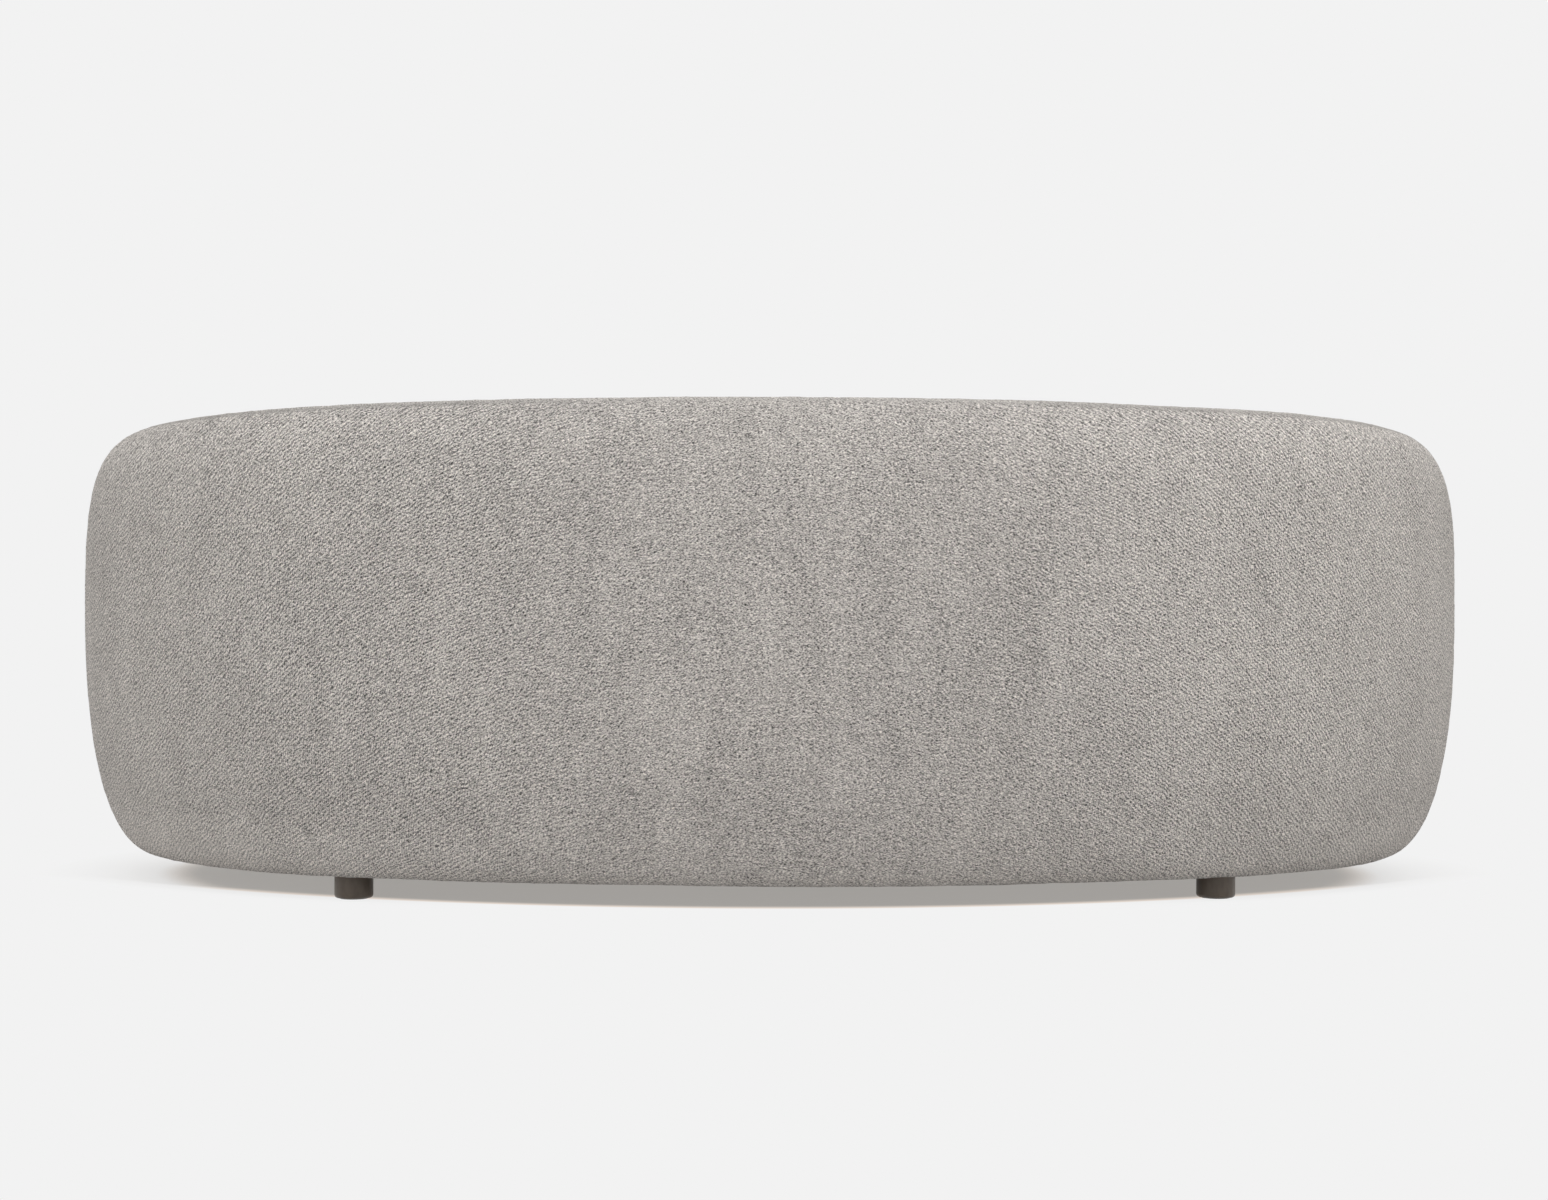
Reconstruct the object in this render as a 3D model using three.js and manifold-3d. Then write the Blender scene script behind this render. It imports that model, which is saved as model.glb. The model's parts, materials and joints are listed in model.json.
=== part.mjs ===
// Curved sofa: a tub-shaped back and arms made as one upholstered band, a seat platform with a
// padded apron between the arms, a loose one-piece seat cushion and four short round feet.
// Millimetres, +Z up. The seat faces -Y, and the floor is at zero height.

import * as THREE from "three";
import { mergeVertices } from "three/addons/utils/BufferGeometryUtils.js";
import Module from "manifold-3d";

const wasm = await Module();
wasm.setup();

// Plan of the band, along its fullest line: one wide arc behind and a tighter arc round each arm
const rearRadius = 1780;
const armRadius = 832;
const rearTurn = THREE.MathUtils.degToRad(23.4);
const armTurn = THREE.MathUtils.degToRad(98);

// Upright section of the band, measured from its crest line
const overallHeight = 770;
const fullestHeight = 453;
const undersideHeight = 42;
const outerReach = 133;
const innerReach = 85;
const backLean = 0.13;
const armLean = 0.07;
const shoulderHeightPower = 3.9;
const shoulderReachPower = 2.75;
const hemHeightPower = 2.2;
const hemReachPower = 3;
const coverOpeningReach = 12;

// Upholstery thicknesses
const coverThickness = 3;
const outerFoam = 40;
const innerFoam = 60;
const topFoam = 48;
const tapeThickness = 1.6;

// Seat platform
const seatDepth = 614;
const frontRadius = 3300;
const deckHeight = 285;
const deckClothThickness = 2;
const deckPadThickness = 18;
const apronDepth = 60;
const apronRoundPower = 3.2;
const apronFoam = 30;
const apronTuck = 15;
const apronTopReach = 14;
const deckMargin = 8;

// Frame boards and webbing
const boardThickness = 18;
const linerThickness = 4;
const railWidth = 44;
const plateHeight = 48;
const baseMargin = 30;
const baseEdgeReach = 24;
const frontPlateWidth = 104;
const hemMargin = 4;
const kneeDrop = 41;
const bearerDrop = 58;
const strapWidth = 60;
const strapThickness = 2;
const strapSag = 8;
const strapSpacing = 200;
const bearerSpacing = 350;
const platformMargin = 110;
const ribHoleWidth = 62;
const ribHoleMargin = 26;

// Loose seat cushion
const cushionHeight = 148;
const cushionCrown = 30;
const cushionClearance = 4;
const cushionOverhang = 6;
const cushionSeamInset = 9;
const cushionCorner = 60;
const cushionCover = 2;
const cushionDrawn = 7;
const zipLength = 620;
const zipHeight = 9;

// Feet
const footRadius = 30.5;
const footEdge = 5;
const footTurn = THREE.MathUtils.degToRad(29.6);
const footReach = 76;
const frontFootFromBase = 100;
const frontFootInset = 86;
const glideRadius = 22;
const glideHeight = 4;
const glideProud = 1;
const boltRadius = 4;
const boltInFoot = 30;
const boltAbove = 6;
const dustCoverThickness = 1;
const dustCoverInset = 18;
const footHoleMargin = 2;

// Clearances: pieces that touch, and boards that stand beside a faceted curve
const fitGap = 0.3;
const boardGap = 1;
const overrun = 40;

// Mesh fineness
const rearSteps = 8;
const armSteps = 8;
const tipSteps = 6;
const frontSteps = 14;
const holeSteps = 6;
const boltSides = 10;
const footSides = 20;
const bandAngles = [90, 74, 58, 42, 24, 0, -24, -45, -63, -78, -86, -90];

// Outer line of the frame boards: shares of their reach and of the height above the fullest line
const frameShoulderShares = [[0.62, 1], [0.9, 0.84], [0.98, 0.6], [1, 0]];
const frameHemAngles = [-24, -46, -62, -72];

const boucleMaterial = { color: 0xa7a29e, roughness: 0.95, metalness: 0 };
const liningMaterial = { color: 0x8c8780, roughness: 0.95, metalness: 0 };
const blackFeltMaterial = { color: 0x1c1c1d, roughness: 0.95, metalness: 0 };
const foamMaterial = { color: 0xe7dfc6, roughness: 0.9, metalness: 0 };
const plywoodMaterial = { color: 0xc8a572, roughness: 0.65, metalness: 0 };
const webbingMaterial = { color: 0x2f3033, roughness: 0.85, metalness: 0 };
const footMaterial = { color: 0x4a433c, roughness: 0.45, metalness: 0 };
const steelMaterial = { color: 0xb9bcc0, roughness: 0.35, metalness: 0.9 };
const zipMaterial = { color: 0x8f8a85, roughness: 0.6, metalness: 0 };

const frame = new THREE.Group();
const seatCushion = new THREE.Group();

function addPiece(group, name, geometry, look) {
  const mesh = new THREE.Mesh(geometry, new THREE.MeshStandardMaterial(look));
  mesh.name = name;
  group.add(mesh);
  return mesh;
}

// Solids

function toSolid(geometry) {
  const bare = geometry.clone();
  bare.deleteAttribute("normal");
  bare.deleteAttribute("uv");
  const merged = mergeVertices(bare);
  const corners = Array.from(merged.index.array);
  const kept = [];
  for (let k = 0; k < corners.length; k += 3) {
    const [a, b, c] = corners.slice(k, k + 3);
    if (a !== b && b !== c && c !== a) {
      kept.push(a, b, c);
    }
  }
  const mesh = new wasm.Mesh({
    numProp: 3,
    vertProperties: new Float32Array(merged.attributes.position.array),
    triVerts: new Uint32Array(kept),
  });
  return new wasm.Manifold(mesh);
}

function toGeometry(solid) {
  const mesh = solid.getMesh();
  const geometry = new THREE.BufferGeometry();
  geometry.setAttribute("position", new THREE.BufferAttribute(mesh.vertProperties, 3));
  geometry.setIndex(new THREE.BufferAttribute(mesh.triVerts, 1));
  geometry.computeVertexNormals();
  return geometry;
}

function geometryOf(points, faces) {
  const geometry = new THREE.BufferGeometry();
  geometry.setFromPoints(points);
  geometry.setIndex(faces);
  return geometry;
}

// Rows of points round a closed ring, from the top row down; the first and last rows close up
function ringGeometry(rows) {
  const count = rows[0].length;
  const faces = [];
  for (let r = 0; r + 1 < rows.length; r += 1) {
    for (let k = 0; k < count; k += 1) {
      const next = (k + 1) % count;
      const a = r * count + k;
      const b = r * count + next;
      const c = (r + 1) * count + next;
      const d = (r + 1) * count + k;
      faces.push(a, b, c, a, c, d);
    }
  }
  return geometryOf(rows.flat(), faces);
}

// A closed outline carried along a path, with a flat cap at each end
function sweptGeometry(drawn, toPoints) {
  const turned = THREE.ShapeUtils.isClockWise(drawn[0]);
  const outlines = drawn.map((outline) => (turned ? [...outline].reverse() : outline));
  const count = outlines[0].length;
  const points = outlines.flatMap((outline, step) => toPoints(outline, step));
  const faces = [];
  for (let s = 0; s + 1 < outlines.length; s += 1) {
    for (let k = 0; k < count; k += 1) {
      const next = (k + 1) % count;
      const a = s * count + k;
      const b = s * count + next;
      const c = (s + 1) * count + next;
      const d = (s + 1) * count + k;
      faces.push(a, b, c, a, c, d);
    }
  }
  const last = (outlines.length - 1) * count;
  for (const [a, b, c] of THREE.ShapeUtils.triangulateShape(outlines[0], [])) {
    faces.push(a, c, b);
  }
  for (const [a, b, c] of THREE.ShapeUtils.triangulateShape(outlines[outlines.length - 1], [])) {
    faces.push(last + a, last + b, last + c);
  }
  return geometryOf(points, faces);
}

function boardShape(outline) {
  return new THREE.Shape(THREE.ShapeUtils.isClockWise(outline) ? [...outline].reverse() : outline);
}

function boardGeometry(outline, low, high, holes = []) {
  const shape = boardShape(outline);
  for (const hole of holes) {
    const path = new THREE.Path();
    path.absarc(hole.x, hole.y, hole.radius, 0, Math.PI * 2, true);
    shape.holes.push(path);
  }
  const geometry = new THREE.ExtrudeGeometry(shape, {
    depth: high - low,
    bevelEnabled: false,
    curveSegments: holeSteps,
  });
  geometry.translate(0, 0, low);
  return geometry;
}

// Plan curves. A turn is the direction that the band's outer face looks in, from straight back

function bandPoint(turn, reach) {
  const centreDistance = Math.abs(turn) > rearTurn ? rearRadius - armRadius : 0;
  const centreTurn = Math.sign(turn) * rearTurn;
  const radius = rearRadius - centreDistance - outerReach + reach;
  const x = centreDistance * Math.sin(centreTurn) + radius * Math.sin(turn);
  const y = centreDistance * Math.cos(centreTurn) + radius * Math.cos(turn) - rearRadius;
  return new THREE.Vector2(x, y);
}

function bandTurns() {
  const turns = [];
  for (let k = 0; k < armSteps; k += 1) {
    turns.push(THREE.MathUtils.lerp(-armTurn, -rearTurn, k / armSteps));
  }
  for (let k = 0; k <= rearSteps; k += 1) {
    turns.push(THREE.MathUtils.lerp(-rearTurn, rearTurn, k / rearSteps));
  }
  for (let k = 1; k <= armSteps; k += 1) {
    turns.push(THREE.MathUtils.lerp(rearTurn, armTurn, k / armSteps));
  }
  return turns;
}

function leanAt(turn) {
  const ease = THREE.MathUtils.smoothstep(Math.abs(turn), rearTurn, Math.PI / 2);
  return THREE.MathUtils.lerp(backLean, armLean, ease);
}

// Inner face of the band at a height, as a reach towards the seat
function innerFace(turn, height) {
  const lean = leanAt(turn) * (overallHeight - height);
  const drop = Math.max(0, fullestHeight - height) / (fullestHeight - undersideHeight);
  const along = Math.min(1, Math.pow(drop, hemHeightPower / 2));
  const rise = Math.max(0, height - fullestHeight) / (overallHeight - fullestHeight);
  const up = Math.min(1, Math.pow(rise, shoulderHeightPower / 2));
  const hem = Math.pow(Math.sqrt(1 - along * along), 2 / hemReachPower);
  const shoulder = Math.pow(Math.sqrt(1 - up * up), 2 / shoulderReachPower);
  return (innerReach + lean) * hem * shoulder;
}

function deckReach(turn) {
  return innerFace(turn, deckHeight) + deckMargin;
}

const seatFront = outerReach + innerFace(0, deckHeight) + seatDepth;
const frontCentreY = -seatFront - frontRadius;

function frontPoint(x, inset) {
  const radius = frontRadius + inset;
  return new THREE.Vector2(x, frontCentreY + Math.sqrt(radius * radius - x * x));
}

function yOnCurve(points, x) {
  for (let k = 0; k + 1 < points.length; k += 1) {
    const [a, b] = [points[k], points[k + 1]];
    if (x >= a.x && x <= b.x) {
      return THREE.MathUtils.lerp(a.y, b.y, (x - a.x) / (b.x - a.x));
    }
  }
  throw new Error("this place lies beyond the end of the curve");
}

// Everything ahead of a line that follows the seat's front edge
function aheadOfFront(inset) {
  const outline = [];
  const halfWidth = bandPoint(Math.PI / 2, 0).x;
  for (let k = 0; k <= frontSteps; k += 1) {
    outline.push(frontPoint(THREE.MathUtils.lerp(-halfWidth, halfWidth, k / frontSteps), inset));
  }
  const far = frontPoint(halfWidth, 0).y - outerReach - overrun;
  outline.push(new THREE.Vector2(halfWidth, far), new THREE.Vector2(-halfWidth, far));
  return toSolid(boardGeometry(outline, -overrun, overallHeight + overrun));
}

// The band

function bandRing() {
  const turns = bandTurns();
  const ring = turns.map((turn) => ({ turn, look: turn, inner: 0 }));
  for (let k = 1; k < tipSteps; k += 1) {
    const swing = (Math.PI * k) / tipSteps;
    ring.push({ turn: armTurn, look: armTurn + swing, inner: (1 - Math.cos(swing)) / 2 });
  }
  for (const turn of [...turns].reverse()) {
    ring.push({ turn, look: turn + Math.PI, inner: 1 });
  }
  for (let k = tipSteps - 1; k > 0; k -= 1) {
    const swing = (Math.PI * k) / tipSteps;
    ring.push({ turn: -armTurn, look: -armTurn - swing, inner: (1 - Math.cos(swing)) / 2 });
  }
  return ring;
}

function ringPoint(place, outward, inward, height) {
  const crest = bandPoint(place.turn, 0);
  const reach = THREE.MathUtils.lerp(outward, inward, place.inner);
  const x = crest.x + reach * Math.sin(place.look);
  const y = crest.y + reach * Math.cos(place.look);
  return new THREE.Vector3(x, y, height);
}

function bandRow(degrees, skin) {
  const angle = THREE.MathUtils.degToRad(degrees);
  const above = degrees >= 0;
  const rise = above ? overallHeight - fullestHeight : fullestHeight - undersideHeight;
  const heightPower = above ? shoulderHeightPower : hemHeightPower;
  const reachPower = above ? shoulderReachPower : hemReachPower;
  const lift = (rise - skin) * Math.pow(Math.abs(Math.sin(angle)), 2 / heightPower);
  const height = fullestHeight + Math.sign(degrees) * lift;
  const draw = Math.abs(degrees) === 90 ? 0 : Math.pow(Math.cos(angle), 2 / reachPower);
  return bandRing().map((place) => {
    const lean = leanAt(place.turn) * (overallHeight - height);
    return ringPoint(place, (outerReach - skin) * draw, (innerReach + lean - skin) * draw, height);
  });
}

// The whole band as one solid whose surface lies a skin's depth inside the finished face
function bandSolid(skin) {
  return toSolid(ringGeometry(bandAngles.map((degrees) => bandRow(degrees, skin))));
}

function ringSlab(reach, low, high) {
  const row = (rowReach, height) => bandRing().map((place) => ringPoint(place, rowReach, rowReach, height));
  return toSolid(ringGeometry([row(0, high), row(reach, high), row(reach, low), row(0, low)]));
}

// Frame boards inside the band

const plateTop = plateHeight + boardThickness;
const frameBottom = plateTop + fitGap;
const frameTop = overallHeight - topFoam;
const ribTop = frameTop - boardThickness - fitGap * 2;
const kneeTop = deckHeight - kneeDrop;
const linerBottom = kneeTop + fitGap;
const railTop = deckHeight - deckClothThickness - deckPadThickness - strapThickness - fitGap * 3;

function frameLine() {
  const reach = outerReach - outerFoam;
  const shoulder = frameShoulderShares.map(
    ([reachShare, heightShare]) =>
      new THREE.Vector2(reach * reachShare, THREE.MathUtils.lerp(fullestHeight, frameTop, heightShare)),
  );
  const hem = frameHemAngles.map((degrees) => {
    const angle = THREE.MathUtils.degToRad(-degrees);
    const drop = (fullestHeight - undersideHeight) * Math.pow(Math.sin(angle), 2 / hemHeightPower);
    return new THREE.Vector2(reach * Math.pow(Math.cos(angle), 2 / hemReachPower), fullestHeight - drop);
  });
  return [...shoulder, ...hem];
}

// Outer edge of the frame boards at a height
function frameOuter(height) {
  const line = frameLine();
  const k = line.findIndex((point, step) => step > 0 && point.y <= height);
  const [high, low] = [line[k - 1], line[k]];
  return THREE.MathUtils.lerp(low.x, high.x, (height - low.y) / (high.y - low.y));
}

function frameInner(turn, height) {
  return innerReach - innerFoam + leanAt(turn) * (overallHeight - height);
}

function frameHeights(top) {
  const between = frameLine().map((point) => point.y);
  return [top, ...between.filter((height) => height < top && height > frameBottom), frameBottom];
}

function alongBand(outlineAt, turns) {
  const outlines = turns.map(outlineAt);
  return toSolid(
    sweptGeometry(outlines, (outline, step) =>
      outline.map((corner) => {
        const place = bandPoint(turns[step], corner.x);
        return new THREE.Vector3(place.x, place.y, corner.y);
      }),
    ),
  );
}

function stripOutline(reachLow, reachHigh, low, high) {
  return [
    new THREE.Vector2(reachLow, low),
    new THREE.Vector2(reachHigh, low),
    new THREE.Vector2(reachHigh, high),
    new THREE.Vector2(reachLow, high),
  ];
}

// Space that the frame fills inside the foam, between the base plate and the top rail
function frameSpace() {
  const section = (turn) => {
    const outline = frameHeights(frameTop).map((height) => new THREE.Vector2(frameOuter(height), height));
    const inner = (height) => -frameInner(turn, height) - fitGap - linerThickness - boardGap;
    for (const height of [frameBottom, linerBottom, frameTop]) {
      outline.push(new THREE.Vector2(inner(height), height));
    }
    return outline;
  };
  return alongBand(section, bandTurns());
}

function baseInner(turn, margin) {
  return bandPoint(turn, -deckReach(turn) - boardThickness - baseMargin - margin);
}

function baseOutline(margin) {
  const turns = bandTurns();
  const outer = turns.map((turn) => bandPoint(turn, baseEdgeReach + margin));
  const inner = turns.map((turn) => baseInner(turn, margin));
  return [...outer, ...inner.reverse()];
}

function footPlaces() {
  const rear = bandPoint(footTurn, -footReach);
  const front = frontPoint(baseInner(armTurn, 0).x - frontFootFromBase, frontFootInset);
  return [
    new THREE.Vector2(-rear.x, rear.y),
    rear,
    new THREE.Vector2(-front.x, front.y),
    front,
  ];
}

function basePlate() {
  const plate = toSolid(boardGeometry(baseOutline(0), plateHeight, plateTop));
  const halfWidth = apronHalfWidth + fitGap;
  const apron = frontBoard(-apronDepth, apronBack + hemMargin, 0, plateTop + overrun, halfWidth);
  const holes = footPlaces().slice(0, 2).map((place) => boltHole(place));
  return holes.reduce((solid, hole) => solid.subtract(hole), plate.subtract(apron));
}

function frontBoard(insetLow, insetHigh, low, high, halfWidth) {
  const front = [];
  const back = [];
  for (let k = 0; k <= frontSteps; k += 1) {
    const share = THREE.MathUtils.lerp(-1, 1, k / frontSteps);
    front.push(frontPoint(share * halfWidth, insetLow));
    back.push(frontPoint(share * halfWidth, insetHigh));
  }
  return toSolid(boardGeometry([...front, ...back.reverse()], low, high));
}

const apronBack = apronFoam + coverThickness + boardGap;
const frontRailBack = apronBack + boardThickness;
const armPanelInner = bandPoint(armTurn, -deckReach(armTurn)).x;
const armPanelShift = boardThickness / 2 + boardGap;
const apronHalfWidth = bandPoint(armTurn, -innerFace(armTurn, fullestHeight)).x + apronTuck;

function frontPlate() {
  const halfWidth = baseInner(armTurn, fitGap).x;
  const inset = apronBack + hemMargin;
  const plate = frontBoard(inset, inset + frontPlateWidth, plateHeight, plateTop, halfWidth);
  const beside = toSolid(boardGeometry(baseOutline(fitGap), plateHeight - overrun, plateTop + overrun));
  const holes = footPlaces().slice(2).map((place) => boltHole(place));
  return holes.reduce((solid, hole) => solid.subtract(hole), plate.subtract(beside));
}

function boltHole(place) {
  const hole = new THREE.CylinderGeometry(boltRadius + fitGap, boltRadius + fitGap, plateTop * 2, boltSides);
  hole.rotateX(Math.PI / 2);
  hole.translate(place.x, place.y, plateTop);
  return toSolid(hole);
}

// A rib stands square across the band: its outline is drawn in reach and height
function ribOutline(turn, gap) {
  const notchLow = fullestHeight - boardThickness - fitGap;
  const notchReach = midRailOuter() - railWidth - gap;
  const points = [];
  for (const height of frameHeights(ribTop)) {
    if (height <= fullestHeight && points.every((point) => point.y > notchLow)) {
      points.push(new THREE.Vector2(frameOuter(fullestHeight) - gap, fullestHeight + fitGap));
      points.push(new THREE.Vector2(notchReach, fullestHeight + fitGap));
      points.push(new THREE.Vector2(notchReach, notchLow));
      points.push(new THREE.Vector2(frameOuter(notchLow) - gap, notchLow));
    } else {
      points.push(new THREE.Vector2(frameOuter(height) - gap, height));
    }
  }
  const knee = deckReach(turn) - boardGap;
  points.push(new THREE.Vector2(-knee, frameBottom));
  points.push(new THREE.Vector2(-knee, kneeTop));
  points.push(new THREE.Vector2(boardGap - frameInner(turn, kneeTop), kneeTop));
  points.push(new THREE.Vector2(boardGap - frameInner(turn, ribTop), ribTop));
  return points;
}

function ribHole(turn, low, high) {
  const middle = (low + high) / 2;
  const centre = (frameOuter(middle) - frameInner(turn, middle)) / 2;
  const path = new THREE.Path();
  path.absellipse(centre, middle, ribHoleWidth / 2, (high - low) / 2, 0, Math.PI * 2, true, 0);
  return path;
}

// Boards that stand side by side across the seat platform, as places from its middle
function platformPlaces(spacing) {
  const each = Math.floor((armPanelInner - platformMargin) / spacing);
  return Array.from({ length: each * 2 + 1 }, (_, k) => (k - each) * spacing);
}

function addRib(name, turn, shift, gap) {
  const shape = boardShape(ribOutline(turn, gap));
  shape.holes.push(ribHole(turn, fullestHeight + ribHoleMargin, ribTop - ribHoleMargin));
  const lowerTop = fullestHeight - boardThickness - ribHoleMargin;
  shape.holes.push(ribHole(turn, kneeTop / 2 + ribHoleMargin, lowerTop));
  const geometry = new THREE.ExtrudeGeometry(shape, {
    depth: boardThickness,
    bevelEnabled: false,
    curveSegments: holeSteps,
  });
  geometry.translate(0, 0, -boardThickness / 2);
  geometry.rotateX(Math.PI / 2);
  const rib = addPiece(frame, name, geometry, plywoodMaterial);
  const crest = bandPoint(turn, 0);
  rib.position.set(crest.x - shift * Math.cos(turn), crest.y + shift * Math.sin(turn), 0);
  rib.rotation.z = Math.PI / 2 - turn;
}

function addRibs() {
  const turns = bandTurns();
  const middle = armSteps + rearSteps / 2;
  const places = [-10, -8, -6, -4, -2, 0, 2, 4, 6, 8, 10].map((step) => turns[middle + step]);
  places.forEach((turn, k) => addRib(`back_rib_${k + 1}`, turn, 0, boardGap));
  addRib("arm_panel_left", -armTurn, -armPanelShift, boardGap * 2);
  addRib("arm_panel_right", armTurn, armPanelShift, boardGap * 2);
}

// The room that an arm panel takes below the seat, which the padding of the apron is cut round
function armPanelSpace(side) {
  const knee = deckReach(armTurn);
  const high = kneeTop + fitGap;
  const space = new THREE.BoxGeometry(knee, boardThickness + fitGap * 2, high);
  space.translate(-knee / 2, 0, high / 2);
  space.rotateZ(Math.PI / 2 - side * armTurn);
  const crest = bandPoint(side * armTurn, 0);
  const shift = side * armPanelShift;
  space.translate(crest.x - shift * Math.cos(armTurn), crest.y + shift * Math.sin(side * armTurn), 0);
  return toSolid(space);
}

function topRail() {
  const low = ribTop + fitGap;
  const high = frameTop - fitGap;
  const section = (turn) => {
    const outward = frameOuter(high) - boardGap;
    return stripOutline(boardGap - frameInner(turn, frameTop), outward, low, high);
  };
  return alongBand(section, bandTurns());
}

function midRailOuter() {
  return frameOuter(fullestHeight - boardThickness) - boardGap;
}

function midRail() {
  const outward = midRailOuter();
  const low = fullestHeight - boardThickness;
  const section = () => stripOutline(outward - railWidth, outward, low, fullestHeight);
  return alongBand(section, bandTurns());
}

function innerLiner() {
  const section = (turn) => {
    const base = -frameInner(turn, linerBottom) - fitGap;
    const top = -frameInner(turn, frameTop) - fitGap;
    return [
      new THREE.Vector2(base - linerThickness, linerBottom),
      new THREE.Vector2(base, linerBottom),
      new THREE.Vector2(top, frameTop - fitGap),
      new THREE.Vector2(top - linerThickness, frameTop - fitGap),
    ];
  };
  return alongBand(section, bandTurns());
}

// Seat platform

function seatBackRail() {
  const section = (turn) => {
    const reach = -deckReach(turn);
    return stripOutline(reach - boardThickness, reach, frameBottom, railTop);
  };
  return alongBand(section, bandTurns()).subtract(aheadOfFront(frontRailBack + boardGap + fitGap));
}

function frontRail() {
  const halfWidth = armPanelInner - boardGap;
  return frontBoard(apronBack, frontRailBack, frameBottom, railTop, halfWidth);
}

function railLine(depth) {
  return bandTurns()
    .filter((turn) => Math.abs(turn) < Math.PI / 2)
    .map((turn) => bandPoint(turn, -deckReach(turn) - depth));
}

function addBearers() {
  const rear = railLine(boardThickness + fitGap);
  platformPlaces(bearerSpacing).forEach((x, k) => {
    const sides = [x - boardThickness / 2, x + boardThickness / 2];
    const outline = sides.map((side) => new THREE.Vector2(side, yOnCurve(rear, side)));
    for (const side of [...sides].reverse()) {
      outline.push(frontPoint(side, frontRailBack + fitGap));
    }
    const geometry = boardGeometry(outline.reverse(), frameBottom, deckHeight - bearerDrop);
    addPiece(frame, `seat_bearer_${k + 1}`, geometry, plywoodMaterial);
  });
}

function strapGeometry(x) {
  const rear = railLine(0);
  const low = railTop + fitGap;
  const shares = [0, 0.09, 0.25, 0.42, 0.58, 0.75, 0.91, 1];
  const outlines = shares.map((share) => {
    const edge = [x - strapWidth / 2, x + strapWidth / 2];
    const between = Math.max(0, Math.min(1, (share - shares[1]) / (1 - 2 * shares[1])));
    const drop = strapSag * 4 * between * (1 - between);
    const place = (side) => THREE.MathUtils.lerp(yOnCurve(rear, side), frontPoint(side, apronBack).y, share);
    return [
      new THREE.Vector3(edge[0], place(edge[0]), low - drop),
      new THREE.Vector3(edge[1], place(edge[1]), low - drop),
      new THREE.Vector3(edge[1], place(edge[1]), low - drop + strapThickness),
      new THREE.Vector3(edge[0], place(edge[0]), low - drop + strapThickness),
    ];
  });
  const flat = outlines.map((outline) => outline.map((corner) => new THREE.Vector2(corner.x, corner.z)));
  return sweptGeometry(flat, (outline, step) => outlines[step]);
}

function addStraps() {
  platformPlaces(strapSpacing).forEach((x, k) => {
    addPiece(frame, `seat_strap_${k + 1}`, strapGeometry(x), webbingMaterial);
  });
}

function deckLayer(low, high) {
  const outline = bandTurns().map((turn) => bandPoint(turn, -deckReach(turn)));
  const corner = outline[outline.length - 1];
  const ahead = frontPoint(corner.x, 0).y;
  outline.push(new THREE.Vector2(corner.x, ahead), new THREE.Vector2(-corner.x, ahead));
  const layer = toSolid(boardGeometry(outline, low, high));
  return layer.subtract(aheadOfFront(apronDepth - apronTopReach + boardGap));
}

// Upright section of the padded apron, in depth behind its front face and height
function apronCurve(skin, degrees) {
  const angle = THREE.MathUtils.degToRad(degrees);
  const middle = (deckHeight + undersideHeight) / 2;
  const rise = (deckHeight - undersideHeight) / 2 - skin;
  const lift = rise * Math.pow(Math.abs(Math.sin(angle)), 2 / apronRoundPower);
  const reach = (apronDepth - skin) * Math.pow(Math.cos(angle), 2 / apronRoundPower);
  return new THREE.Vector2(apronDepth - reach, middle + Math.sign(degrees) * lift);
}

function apronAngle(inset, skin) {
  const share = (apronDepth - inset) / (apronDepth - skin);
  return THREE.MathUtils.radToDeg(Math.acos(Math.pow(share, apronRoundPower / 2)));
}

function apronLine(skin) {
  const end = apronAngle(apronDepth - apronTopReach, skin);
  const shares = [1, 0.86, 0.68, 0.48, 0.26, 0];
  const upper = shares.map((share) => apronCurve(skin, share * end));
  const lower = shares.slice(0, -1).reverse().map((share) => apronCurve(skin, -share * end));
  return [...upper, ...lower];
}

function alongFront(outline) {
  const widest = Math.asin(apronHalfWidth / frontRadius);
  const turns = [];
  for (let k = 0; k <= frontSteps; k += 1) {
    turns.push(THREE.MathUtils.lerp(-widest, widest, k / frontSteps));
  }
  const solid = toSolid(
    sweptGeometry(turns.map(() => outline), (corners, step) =>
      corners.map((corner) => {
        const radius = frontRadius + corner.x;
        const turn = turns[step];
        const x = radius * Math.sin(turn);
        return new THREE.Vector3(x, frontCentreY + radius * Math.cos(turn), corner.y);
      }),
    ),
  );
  return solid.subtract(bandSolid(-fitGap)).subtract(armPanelSpace(-1)).subtract(armPanelSpace(1));
}

function apronCover() {
  return alongFront([...apronLine(0), ...apronLine(coverThickness).reverse()]);
}

function apronFoamPad() {
  const back = apronBack - boardGap;
  const restHeight = railTop + strapThickness + fitGap * 2;
  const whole = apronLine(coverThickness + fitGap);
  const kept = whole.filter((point) => point.y > restHeight || point.x < back);
  const [last, next] = [kept[kept.length - 1], whole[kept.length]];
  kept.push(last.clone().lerp(next, (back - last.x) / (next.x - last.x)));
  kept.push(new THREE.Vector2(back, restHeight));
  kept.push(new THREE.Vector2(apronDepth - apronTopReach, restHeight));
  return alongFront(kept);
}

// Upholstery of the band

// The inner upholstery stops at the knees of the ribs, where the seat platform joins them
function platformPocket() {
  const outline = bandTurns().map((turn) => bandPoint(turn, 0));
  const corner = outline[outline.length - 1];
  const ahead = frontPoint(corner.x, apronBack - fitGap * 2).y - outerReach;
  outline.push(new THREE.Vector2(corner.x, ahead), new THREE.Vector2(-corner.x, ahead));
  const pocket = toSolid(boardGeometry(outline, -overrun, kneeTop + fitGap));
  return pocket.subtract(aheadOfFront(apronBack - fitGap * 2));
}

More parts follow.
